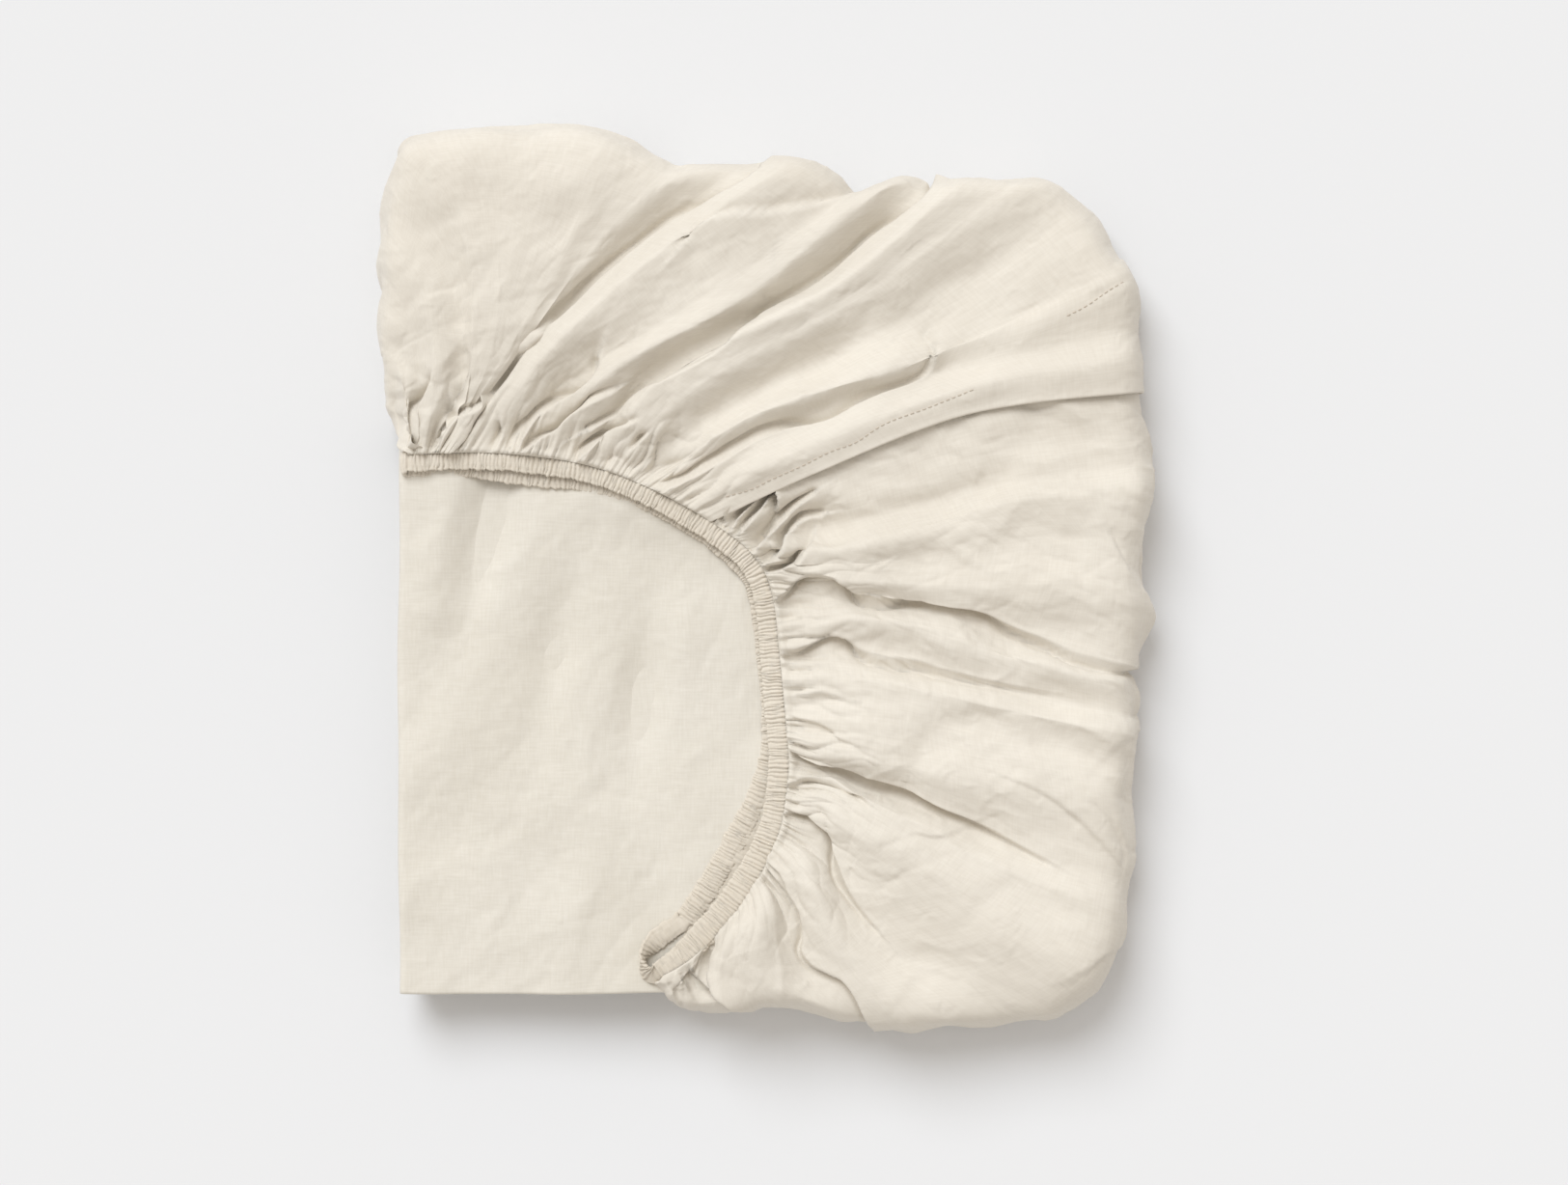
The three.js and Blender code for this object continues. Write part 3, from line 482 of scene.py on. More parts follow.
class Route:
    """A smooth line in plan, measured along its length."""

    def __init__(self, points):
        self.dense = through(points, [24] * (len(points) - 1))
        self.marks = marks_along(self.dense)
        self.length = self.marks[-1]
        slopes = np.gradient(self.dense, self.marks, axis=0)
        self.slopes = slopes / np.linalg.norm(slopes, axis=1, keepdims=True)

    def at(self, distance):
        """Places at some distances along the line."""
        return np.stack([np.interp(distance, self.marks, self.dense[:, k]) for k in (0, 1)], -1)

    def left(self, distance):
        """Unit directions to the line's left at some distances along it."""
        slope = np.stack([np.interp(distance, self.marks, self.slopes[:, k]) for k in (0, 1)], -1)
        slope /= np.linalg.norm(slope, axis=-1, keepdims=True)
        return np.stack([-slope[..., 1], slope[..., 0]], -1)


OUTER = Route(OUTER_RUN)
INNER = Route(INNER_RUN)
EDGE = Route(SKIRT_EDGE)


def distance_to(line, places):
    """How far places are from a line, on which side (1 is left) and at what share of its length."""
    steps = np.diff(line, axis=0)
    lengths = np.linalg.norm(steps, axis=1)
    marks = np.concatenate([[0], np.cumsum(lengths)])
    best = np.full(len(places), 1e9)
    side = np.ones(len(places))
    share = np.zeros(len(places))
    for start, step, length, mark in zip(line[:-1], steps, lengths, marks):
        offset = places - start
        along = np.clip((offset @ step) / length ** 2, 0, 1)
        gap = np.linalg.norm(offset - along[:, None] * step, axis=1)
        nearer = gap < best
        best[nearer] = gap[nearer]
        turn = step[0] * offset[:, 1] - step[1] * offset[:, 0]
        side[nearer] = np.where(turn[nearer] > 0, 1, -1)
        share[nearer] = (mark + along[nearer] * length) / marks[-1]
    return best, side, share


def crease_profile(crease, gap, side, rounding):
    """Share of a crease's height at some distances from its line.

    A broad crease is a round trough, and a valley whose sides are alike is a groove. Where one side is much
    the narrower, the cloth of that side stands up at the line as a step, as the front of a lobe does, and
    falls away slowly behind it. A deep step has a slot at its foot.
    """
    left, right = crease["left"], crease["right"]
    if min(left, right) >= BROAD:
        return np.exp(-(gap / np.where(side > 0, left, right)) ** 2)
    soft = np.sqrt(gap ** 2 + rounding ** 2) - rounding
    if crease["height"] > 0 or max(left, right) < STEP_RATIO * min(left, right):
        return np.exp(-soft / np.where(side > 0, left, right))
    towards_low = gap * side * (1 if left > right else -1)
    low_share = (1 + np.tanh(towards_low / STEP_WIDTH)) / 2
    low = LOW_SIDE * np.exp(-soft / max(left, right))
    if crease["height"] < SLOT_FROM:
        low += SLOT * np.exp(-((gap - SLOT_WIDTH / 2) / SLOT_WIDTH) ** 2)
    high = -HIGH_SIDE * np.exp(-gap / (3 * min(left, right)))
    return low * low_share + high * (1 - low_share)


def crease_heights(plan, creases, rounding=0.4):
    """Height that creases add at places of a plan, each one by its section along its line."""
    flat = plan.reshape(-1, 2)
    height = np.zeros(len(flat))
    for crease in creases:
        line = crease["line"]
        reach = CREASE_REACH * max(crease["left"], crease["right"])
        low = line.min(0) - reach
        high = line.max(0) + reach
        near = np.flatnonzero(((flat > low) & (flat < high)).all(1))
        if not len(near):
            continue
        gap, side, share = distance_to(line, flat[near])
        strength = np.interp(share, [0, 0.5, 1], crease["strength"])
        height[near] += crease["height"] * strength * crease_profile(crease, gap, side, rounding)
    return height.reshape(plan.shape[:-1])


def photo_creases(rows):
    """A crease table with its lines smoothed and brought into the plan."""
    creases = rows_of(CREASE_COLUMNS, rows)
    for crease in creases:
        points = spots(crease["line"])
        crease["line"] = through(points, [4] * (len(points) - 1))
    return creases


def faint_crease(chance, ends, steps, widths, signs, heights, skews):
    """A seeded crease through some places, gone at both ends. The rest are the ranges it is drawn from."""
    width = chance.uniform(*widths)
    return {
        "line": through(np.array(ends), [steps] * (len(ends) - 1)),
        "height": chance.choice(signs) * chance.uniform(*heights),
        "left": width,
        "right": width * chance.uniform(*skews),
        "strength": (0.0, 1.0, 0.0),
    }


def skirt_small_creases(grid, seed):
    """Small creases scattered over the skirt's top, mostly along its rays."""
    chance = np.random.default_rng(seed)
    creases = []
    for _ in range(SKIRT_SMALL_CREASES):
        row = chance.integers(6, RIM_ROW)
        column = chance.integers(2, COLUMNS - 3)
        middle = grid[row, column, :2]
        ray = grid[row + 6, column, :2] - grid[row - 6, column, :2]
        heading = math.atan2(ray[1], ray[0]) + chance.normal(0, 0.6)
        half = chance.uniform(6, 24)
        bend = chance.normal(0, 0.25)
        ends = []
        for share in (-1, -0.4, 0.3, 1):
            angle = heading + bend * share
            ends.append(middle + share * half * np.array([math.cos(angle), math.sin(angle)]))
        creases.append(faint_crease(chance, ends, 3, (0.6, 2.0), (-1, -1, 1), (0.15, 0.6), (0.5, 1.8)))
    return creases


def panel_small_creases(plan):
    """Faint creases scattered over a flat layer, mostly across it."""
    chance = np.random.default_rng(61)
    low = plan.reshape(-1, 2).min(0)
    high = plan.reshape(-1, 2).max(0)
    creases = []
    for _ in range(PANEL_SMALL_CREASES):
        middle = chance.uniform(low, high)
        heading = chance.normal(0.1, 0.5)
        half = chance.uniform(5, 22)
        step = np.array([math.cos(heading), math.sin(heading)])
        aside = np.array([-step[1], step[0]]) * chance.normal(0, 1.5)
        ends = [middle - step * half, middle + aside, middle + step * half]
        creases.append(faint_crease(chance, ends, 4, (0.8, 2.4), (-1, 1), (0.1, 0.34), (0.6, 1.6)))
    return creases


def swell(plan, seed, wavelength):
    """Gentle seeded unevenness of about one unit, over a plan."""
    chance = np.random.default_rng(seed)
    total = np.zeros(plan.shape[:-1])
    for _ in range(SWELL_WAVES):
        angle = chance.uniform(0, math.tau)
        number = math.tau / (wavelength * chance.uniform(0.7, 1.5))
        phase = chance.uniform(0, math.tau)
        total += np.sin(number * (plan[..., 0] * math.cos(angle) + plan[..., 1] * math.sin(angle)) + phase)
    return total / math.sqrt(SWELL_WAVES)


def facets(plan, heading, long, short, seed):
    """Seeded facets of about one unit with sharp edges, drawn out along a heading in degrees."""
    chance = np.random.default_rng(seed)
    heights = chance.uniform(-1, 1, (128, 128))
    angle = math.radians(heading)
    forward = np.array([math.cos(angle), math.sin(angle)])
    aside = np.array([-forward[1], forward[0]])
    along = plan @ forward / long + 0.26 * swell(plan, seed + 1, 2.2 * long) + 64
    across = plan @ aside / short + 0.32 * swell(plan, seed + 2, 2.6 * short) + 64
    i, j = np.floor(along).astype(int), np.floor(across).astype(int)
    a, b = along - i, across - j
    i, j = i % 127, j % 127
    near = heights[i, j] + a * (heights[i + 1, j] - heights[i, j]) + b * (heights[i, j + 1] - heights[i, j])
    corner = heights[i + 1, j + 1]
    far = corner + (1 - a) * (heights[i, j + 1] - corner) + (1 - b) * (heights[i + 1, j] - corner)
    return np.where(a + b < 1, near, far)


def gather_lobes(distance, pitch, seed, length):
    """Rounded lobes with sharp valleys between them, unevenly spaced along a hem of some length."""
    chance = np.random.default_rng(seed)
    gaps = pitch * chance.uniform(0.55, 1.45, int(length / pitch) + 8)
    knots = np.cumsum(gaps) - 2 * pitch
    heights = chance.uniform(0.45, 1.0, len(knots))
    place = np.clip(np.searchsorted(knots, distance) - 1, 0, len(knots) - 2)
    share = np.clip((distance - knots[place]) / (knots[place + 1] - knots[place]), 0, 1)
    return heights[place] * np.sin(math.pi * share) ** 0.45


def grid_normals(grid):
    """Unit normals of a grid of points; up where the rows run outward and the columns go clockwise."""
    down = np.gradient(grid, axis=0)
    across = np.gradient(grid, axis=1)
    normal = np.cross(across, down)
    return normal / (np.linalg.norm(normal, axis=-1, keepdims=True) + 1e-9)


def broad_grid(table):
    """The skirt's broad shape, with a row for each step from hem to floor and a column for each ray."""
    rays = rows_of(RAY_COLUMNS, table)
    far = np.array([ray["far"] for ray in rays], float)
    edge = EDGE.at(np.array([ray["edge_at"] for ray in rays], float))
    spacing = np.linalg.norm(np.diff(far, axis=0), axis=1) + np.linalg.norm(np.diff(edge, axis=0), axis=1)
    marks = np.concatenate([[0], np.cumsum(spacing)])
    places = np.interp(np.linspace(0, marks[-1], COLUMNS), marks, np.arange(len(rays)))
    low = np.minimum(places.astype(int), len(rays) - 2)
    share = places - low
    smooth_share = share * share * (3 - 2 * share)

    def blend(name, weight):
        """A column of the table between its rays."""
        values = np.array([ray[name] for ray in rays], float)
        if values.ndim == 2:
            weight = weight[:, None]
        return values[low] * (1 - weight) + values[low + 1] * weight

    hem_at = blend("hem_at", share)
    edge_at = blend("edge_at", share)
    inward = -EDGE.left(edge_at)
    hem = OUTER.at(hem_at) + OUTER.left(hem_at) * CLOTH_FROM_ELASTIC
    rim = EDGE.at(edge_at) + inward * blend("inset", share)[:, None]
    far_plan = blend("far", share)
    rim_top = blend("edge_top", smooth_share)
    far_top = blend("far_top", smooth_share)
    way_in = np.linalg.norm(rim - far_plan, axis=1)
    reach = np.minimum(SHOULDER["reach"] / way_in, SHOULDER["most"])[:, None]
    stops = [
        (hem, np.full(COLUMNS, HEM_TOP)),
        (blend("near", share), blend("near_top", smooth_share)),
        (far_plan, far_top),
        (rim + (far_plan - rim) * reach, rim_top + (far_top - rim_top) * SHOULDER["height"]),
        (rim, rim_top),
        (rim + inward * WALL_BEND["inset"], np.full(COLUMNS, WALL_BEND["top"])),
        (rim + inward * WALL_FOOT["inset"], np.full(COLUMNS, WALL_FOOT["top"])),
    ]
    control = np.stack([np.concatenate([plan, top[:, None]], 1) for plan, top in stops], 1)
    grid = through(control, ROWS_PER_SPAN).transpose(1, 0, 2)
    for axis in range(2):
        smooth = grid[:, :, axis]
        smooth[:, 1:-1] = (smooth[:, :-2] + 2 * smooth[:, 1:-1] + smooth[:, 2:]) / 4
    return grid, hem_at, edge_at


def skirt_crumples(grid, along, hem_at, edge_at, seed, grain):
    """Seeded crumples of the skirt: short creases, a gentle swell and facets, which go on down its side."""
    plan = grid[..., :2]
    crumples = crease_heights(plan, skirt_small_creases(grid, seed), 0.3)
    crumples += TOP_SWELL * swell(plan, seed + 1, TOP_SWELL_LENGTH)
    row = np.arange(len(grid))[:, None]
    side = np.clip((row - SHOULDER_ROW) / (RIM_ROW - SHOULDER_ROW), 0, 1)
    round_the_side = np.stack([np.broadcast_to(edge_at, along.shape), along], -1)
    for height, long, short, turn in SKIRT_FACETS:
        on_top = facets(plan, grain + turn, long, short, seed + long)
        on_side = facets(round_the_side, SIDE_HEADING + 2 * turn, long, short, seed + long + 7)
        crumples += height * (on_top * (1 - side) + on_side * side)
    crumples += side * SIDE_SWELL * swell(round_the_side, seed + 9, SIDE_SWELL_LENGTH)
    return crumples * np.interp(hem_at, *zip(*RUMPLED))


def hem_gathers(plan, along, hem_at, seed):
    """Pleats that fan out from the hem in several sizes, swaying a little more the farther they go."""
    gathered = np.interp(hem_at, *zip(*GATHERED_HARD))
    for middle, half_width, share in SMOOTH_LOBES:
        gathered -= share * np.exp(-((hem_at - middle) / half_width) ** 4)
    gathers = np.zeros_like(along)
    for number, (height, pitch, start, fade) in enumerate(HEM_GATHERS):
        sway = swell(plan, seed + 23 + number, 3 * pitch + 8) * np.minimum(along / SWAY_FULL_AT, 1)
        place = hem_at + sway * pitch * GATHER_SWAY
        lobes = gather_lobes(place, pitch, seed + 3 + number, OUTER.length)
        lobes -= GATHER_DIP * np.minimum(along / DIP_FULL_AT, 1)
        gathers += height * lobes * gathered * np.exp(-along / fade) * (1 - np.exp(-along / start))
    return gathers


def held_above_stack(top, along):
    """Heights of the skirt's top with its valleys held softly above the stack, but not on its shoulder."""
    lowest = LOWEST_TOP - FLOOR_DROP * np.clip((along - DROP_FROM) / DROP_OVER, 0, 1)
    soft = lowest + FLOOR_SOFTNESS * np.logaddexp(0, (top - lowest) / FLOOR_SOFTNESS)
    free = np.clip((top - lowest - FREE_ABOVE) / FREE_OVER, 0, 1)
    row = np.arange(len(top))[:, None]
    free = np.maximum(free, np.clip((row - FREE_FROM_ROW) / FREE_OVER_ROWS, 0, 1))
    return soft * (1 - free) + top * free


def dressed_grid(table, creases, seed, grain):
    """The skirt with its creases, hem gathers and small crumples, pushed out along its surface."""
    grid, hem_at, edge_at = broad_grid(table)
    steps = np.linalg.norm(np.diff(grid, axis=0), axis=2)
    along = np.concatenate([np.zeros((1, COLUMNS)), np.cumsum(steps, axis=0)])
    rise = crease_heights(grid[..., :2], photo_creases(creases))
    crumples = skirt_crumples(grid, along, hem_at, edge_at, seed, grain)
    gathers = hem_gathers(grid[..., :2], along, hem_at, seed)
    hem_fade = 1 - np.exp(-along / HEM_FADE)
    row = np.arange(len(grid))[:, None]
    foot = np.clip((row - RIM_ROW) / (len(grid) - 1 - RIM_ROW), 0, 1)
    shift = (rise * hem_fade + crumples * hem_fade + gathers) * (1 - FOOT_CALM * foot)
    shift *= np.clip((COLUMNS - np.arange(COLUMNS)) / LAST_COLUMNS, LAST_SHARE, 1)
    grid = grid + grid_normals(grid) * shift[..., None]
    grid[:SHOULDER_ROW, :, 2] = held_above_stack(grid[:SHOULDER_ROW, :, 2], along[:SHOULDER_ROW])
    grid[..., 2] = np.maximum(grid[..., 2], OFF_FLOOR)
    return grid


def turned_edge(grid, last, radius=1.2, tail=9.0):
    """A grid with its first or last column rolled under, as cloth is at a fold's edge."""
    edge = grid[:, -1] if last else grid[:, 0]
    inner = grid[:, -6] if last else grid[:, 5]
    normal = grid_normals(grid)[:, -1 if last else 0]
    out = edge - inner
    out -= (out * normal).sum(1, keepdims=True) * normal
    for _ in range(12):
        out[1:-1] = (out[:-2] + 2 * out[1:-1] + out[2:]) / 4
    out /= np.linalg.norm(out, axis=1, keepdims=True) + 1e-9
    extra = []
    for angle in np.linspace(0, math.pi, 9)[1:]:
        extra.append(edge + out * radius * math.sin(angle) - normal * radius * (1 - math.cos(angle)))
    for back in np.linspace(0, tail, 5)[1:]:
        extra.append(edge - out * back - normal * radius * 2)
    extra = np.stack(extra, 1)
    extra[..., 2] = np.maximum(extra[..., 2], OFF_FLOOR)
    return np.concatenate([grid, extra], 1) if last else np.concatenate([extra[:, ::-1], grid], 1)


def mesh_from_grid(name, grid, close_rows=False, close_columns=False):
    """A smooth-shaded mesh object from a grid of points in millimetres, with a map of its size in metres."""
    rows, columns = grid.shape[:2]
    row_steps = np.linalg.norm(np.diff(grid, axis=0), axis=2).mean(1)
    column_steps = np.linalg.norm(np.diff(grid, axis=1), axis=2).mean(0)
    u = np.concatenate([[0], np.cumsum(column_steps)])
    v = np.concatenate([[0], np.cumsum(row_steps)])
    if close_rows:
        v = np.append(v, v[-1] + v[1])
    if close_columns:
        u = np.append(u, u[-1] + u[1])
    r = np.arange(rows if close_rows else rows - 1)
    c = np.arange(columns if close_columns else columns - 1)
    r, c = (index.ravel() for index in np.meshgrid(r, c, indexing="ij"))
    corners = [(r, c), (r + 1, c), (r + 1, c + 1), (r, c + 1)]
    faces = np.stack([(a % rows) * columns + (b % columns) for a, b in corners], 1)
    mesh = bpy.data.meshes.new(name)
    points = grid.reshape(-1, 3) * METRES_PER_MM
    mesh.from_pydata(points.tolist(), [], faces.tolist())
    layer = mesh.uv_layers.new(name="cloth")
    flat = np.stack([np.stack([u[b], v[a]], 1) for a, b in corners], 1) * METRES_PER_MM
    layer.data.foreach_set("uv", flat.reshape(-1))
    mesh.polygons.foreach_set("use_smooth", np.ones(len(faces), bool))
    mesh.validate()
    mesh.update()
    piece = bpy.data.objects.new(name, mesh)
    bpy.context.scene.collection.objects.link(piece)
    return piece


def joined(name, pieces):
    """Several mesh objects joined into one with a new name."""
    bpy.ops.object.select_all(action="DESELECT")
    for piece in pieces:
        piece.select_set(True)
    bpy.context.view_layer.objects.active = pieces[0]
    bpy.ops.object.join()
    pieces[0].name = name
    return pieces[0]


def elastic_sweep(centres, sideways, facings, widths, seed):
    """The gathered elastic about a line of centres: a rounded strap with uneven ribs across it."""
    chance = np.random.default_rng(seed)
    marks = marks_along(centres)
    gaps = RIB_PITCH * chance.uniform(0.55, 1.45, int(marks[-1] / RIB_PITCH * 1.1) + 8)
    knots = np.cumsum(gaps) - RIB_PITCH
    heights = chance.uniform(0.55, 1.0, len(knots))
    lean = np.interp(marks, knots, chance.normal(0, RIB_LEAN, len(knots)))
    pucker = np.interp(marks, knots, chance.normal(0, RIB_PUCKER, len(knots)))
    angles = np.linspace(0, math.tau, ELASTIC_RING, endpoint=False)
    across = np.sign(np.cos(angles)) * np.abs(np.cos(angles)) ** 0.6
    out = np.sign(np.sin(angles)) * np.abs(np.sin(angles)) ** 0.85
    grid = np.zeros((len(centres), ELASTIC_RING, 3))
    for k, (x, z) in enumerate(zip(across, out)):
        place = marks + x * lean * 1.3 + 0.3 * np.sin(5 * x + marks / 3)
        index = np.clip(np.searchsorted(knots, place) - 1, 0, len(knots) - 2)
        share = np.clip((place - knots[index]) / (knots[index + 1] - knots[index]), 0, 1)
        rib = heights[index] * np.sin(math.pi * share) ** 0.5
        stitch = HEM_STITCH * math.exp(-((abs(x) - HEM_STITCH_AT) / HEM_STITCH_WIDTH) ** 2)
        half_width = widths / 2 - EDGE_GROOVE + EDGE_RIB * rib + pucker
        half_thick = ELASTIC_THICK / 2 - FACE_GROOVE + FACE_RIB * rib - stitch
        grid[:, k] = centres + sideways * (x * half_width)[:, None] + facings * (z * half_thick)[:, None]
    return grid


def elastic_run(route, end, height, sign, lift, widths):
    """One run of the hem along its route: centres, sideways directions, facings and widths."""
    distance = np.arange(0, end, ELASTIC_STEP)
    rise = lift * np.maximum(swell(route.at(distance), 31, 40), 0)
    left = route.left(distance)
    width = np.interp(distance, *zip(*widths))
    plan = route.at(distance) - left * (0.4 * (width - ELASTIC_WIDTH))[:, None]
    sideways = np.column_stack([left, np.zeros(len(left))])
    return np.column_stack([plan, height + rise]), sideways, np.tile(UP * sign, (len(left), 1)), width


def tip_turn(upper_end, lower_end):
    """The hem's way round the open tip: the strap leaves the upper run, stands on edge and lies down."""
    points = [upper_end, *TIP_TURN, lower_end]
    centres = through(np.array(points, float), [14] * (len(points) - 1))[1:-1]
    heading = np.gradient(centres[:, :2], axis=0)
    heading /= np.linalg.norm(heading, axis=1, keepdims=True)
    left = np.column_stack([-heading[:, 1], heading[:, 0], np.zeros(len(centres))])
    share = np.linspace(0, 1, len(centres))
    twist = (math.pi * share ** 2 * (3 - 2 * share))[:, None]
    sideways = left * np.cos(twist) - UP * np.sin(twist)
    facings = left * np.sin(twist) + UP * np.cos(twist)
    return centres, sideways, facings, np.full(len(centres), ELASTIC_WIDTH)


def left_turn(lower, upper):
    """The turn at the hem's left end, from the lower run up to the upper one."""
    share = np.linspace(0, 1, 22)[1:-1, None]
    heading = upper[0][0] - upper[0][12]
    heading[2] = 0
    heading /= np.linalg.norm(heading)
    angle = share * math.pi
    middle = lower[0][-1] * (1 - share) + upper[0][0] * share
    middle[:, 2] = (lower[0][-1][2] + upper[0][0][2]) / 2
    radius = (upper[0][0][2] - lower[0][-1][2]) / 2
    facings = heading * np.sin(angle) - UP * np.cos(angle)
    sideways = lower[1][-1] * (1 - share) + upper[1][0] * share
    sideways /= np.linalg.norm(sideways, axis=1, keepdims=True)
    return middle + facings * radius, sideways, facings, np.full(len(middle), ELASTIC_WIDTH)


def elastic_piece():
    """The hem's elastic as one loop: upper run, turn at the tip, lower run and turn at the left end."""
    upper = elastic_run(OUTER, OUTER.length - 12, OUTER_RUN_MIDDLE, 1, 0.5, OUTER_WIDTHS)
    lower = elastic_run(INNER, INNER.length - 27, INNER_RUN_MIDDLE, -1, 0.0, INNER_WIDTHS)
    lower = tuple(part[::-1] for part in lower)
    tip = tip_turn(upper[0][-1], lower[0][0])
    left = left_turn(lower, upper)
    parts = [np.concatenate(group) for group in zip(upper, tip, lower, left)]
    grid = elastic_sweep(*parts, seed=41)
    return mesh_from_grid("gathered_elastic", grid[::-1], close_rows=True, close_columns=True)


def rolled_profile(edge, far, radius, tucks, steps):
    """Places and heights of a layer that comes from under an edge, round it and on flat to a far place."""
    angles = np.linspace(0, math.pi, steps)
    flat = np.arange(edge + radius + 1.2, far, PANEL_STEP)
    places = np.concatenate([tucks + edge + radius, edge + radius - radius * np.sin(angles), flat])
    under = np.full(len(tucks), -2 * radius)
    return places, np.concatenate([under, -radius * (1 + np.cos(angles)), np.zeros(len(flat))])


def sway_of(places, waves):
    """How far an edge wanders at some places along it."""
    return sum(height * np.sin(places / length + phase) for height, length, phase in waves)


def panel_piece():
    """The smooth top panel: flat, rolled over the stack's left fold and turned under at the front."""
    roll = (LAYER_PITCH + LAYER) / 2 + PANEL_CLEAR
    turn = LAYER / 2 + FRONT_CLEAR
    x, z_of_x = rolled_profile(PANEL_LEFT, PANEL_RIGHT, roll, np.array([8.0, 6.0, 4.0, 2.0]), 22)
    y, z_of_y = rolled_profile(PANEL_FRONT, PANEL_BACK, turn, np.array([7.0, 3.0]), 12)
    grid = np.zeros((len(y), len(x), 3))
    grid[..., 0] = x[None, :]
    grid[..., 1] = y[:, None]
    plan = grid[..., :2].copy()
    grid[..., 0] += sway_of(plan[..., 1], LEFT_SWAY) * np.exp(-(plan[..., 0] - PANEL_LEFT) / EDGE_REACH)
    grid[..., 1] += sway_of(plan[..., 0], FRONT_SWAY) * np.exp(-(plan[..., 1] - PANEL_FRONT) / EDGE_REACH)
    height = STACK_TOP + PANEL_CLEAR + z_of_x[None, :] + z_of_y[:, None]
    lift = crease_heights(plan, photo_creases(PANEL_FOLDS))
    lift += crease_heights(plan, photo_creases(PANEL_CREASES))
    small = crease_heights(plan, panel_small_creases(plan), 0.5)
    lift += small + PANEL_SWELL * swell(plan, 55, PANEL_SWELL_LENGTH)
    for size, long, short in PANEL_FACETS:
        lift += size * facets(plan, 80, long, short, 57 + long)
    lift -= lift.min() * 0.15
    on_top = (z_of_x[None, :] > -0.6 * roll) & (z_of_y[:, None] > -turn)
    grid[..., 2] = height + np.where(on_top, lift, lift * 0.4)
    return mesh_from_grid("smooth_panel", grid[::-1])


def stack_line(station):
    """The folded layers' middle line at a distance from their front, back and forth from the lowest up."""
    y = STACK_Y[0] + station
    left = np.interp(y, STACK_Y, STACK_LEFT)
    right = np.interp(y, STACK_Y, STACK_RIGHT)
    radius = LAYER_PITCH / 2
    line = []
    for layer in range(LAYERS - 1):
        goes_left = layer % 2 == 0
        out = -1 if goes_left else 1
        inset, wander, phase = (LEFT_ROLLS if goes_left else RIGHT_ROLLS)[layer // 2]
        sway = wander * math.sin(y / 31 + phase) + 0.5 * math.sin(y / 9 + 3 * phase)
        inset = inset + radius + LAYER / 2 + sway
        side = left + inset if goes_left else right - inset
        z = BOTTOM_MIDDLE + layer * LAYER_PITCH + 0.35 * math.sin(y / 23 + 2 * layer)
        y_here = y + FRONT_INSETS[layer] + 0.8 * math.sin(layer * 2 + station)
        if layer == 0:
            z = BOTTOM_MIDDLE
            line.append((right - 30, y_here, z))
        inner = side - out * np.array([34, 20, 10, 4])
        line.extend((x, y_here, z) for x in inner)
        if layer == LAYERS - 2:
            break
        for angle in np.linspace(0, math.pi, 11):
            line.append((side + out * radius * math.sin(angle), y_here, z + radius * (1 - math.cos(angle))))
        line.extend((x, y_here, z + 2 * radius) for x in inner[::-1])
    return np.array(line)


def stack_piece():
    """The folded layers under the panel: one section, back and forth, run along Y with closed front folds."""
    rounding = LAYER / 2
    front = [0.0, 0.15, 0.4, 0.7, 1.0, rounding]
    stations = np.concatenate([front, np.arange(3, 20, 2.5), np.arange(22, STACK_LENGTH, 5.0)])
    half_share = np.sqrt(np.clip(1 - (1 - np.minimum(stations / rounding, 1)) ** 2, 0.002, 1))
    rings = []
    for station, share in zip(stations, half_share):
        line = stack_line(station)
        slope = np.gradient(line[:, [0, 2]], axis=0)
        slope /= np.linalg.norm(slope, axis=1, keepdims=True) + 1e-9
        offset = np.column_stack([-slope[:, 1], np.zeros(len(slope)), slope[:, 0]]) * (LAYER / 2 * share)
        rings.append(np.concatenate([line + offset, (line - offset)[::-1]]))
    grid = np.stack(rings)
    grid[..., 2] = np.maximum(grid[..., 2], UNDERSIDE)
    return mesh_from_grid("folded_layers", grid, close_columns=True)


def lower_skirt_piece():
    """The strip of skirt that carries the hem's lower run and goes in under the upper skirt."""
    distance = np.linspace(2, INNER.length - 8, 620)
    across = np.concatenate([np.linspace(0, 6, 8), np.linspace(7.5, 15, 6)])[:, None]
    from_run = CLOTH_FROM_ELASTIC - LOWER_TUCK + across
    plan = INNER.at(distance)[None] + INNER.left(distance)[None] * from_run[..., None]
    gathers = 0
    for size, pitch, reach, seed in LOWER_GATHERS:
        lobes = gather_lobes(distance, pitch, seed, INNER.length) - 0.5
        gathers = gathers + size * lobes * np.exp(-across / reach)
    height = np.minimum(INNER_RUN_MIDDLE + LOWER_RISE + gathers, LOWER_TOP)
    grid = np.concatenate([plan, height[..., None]], 2)
    return mesh_from_grid("lower_skirt", grid)


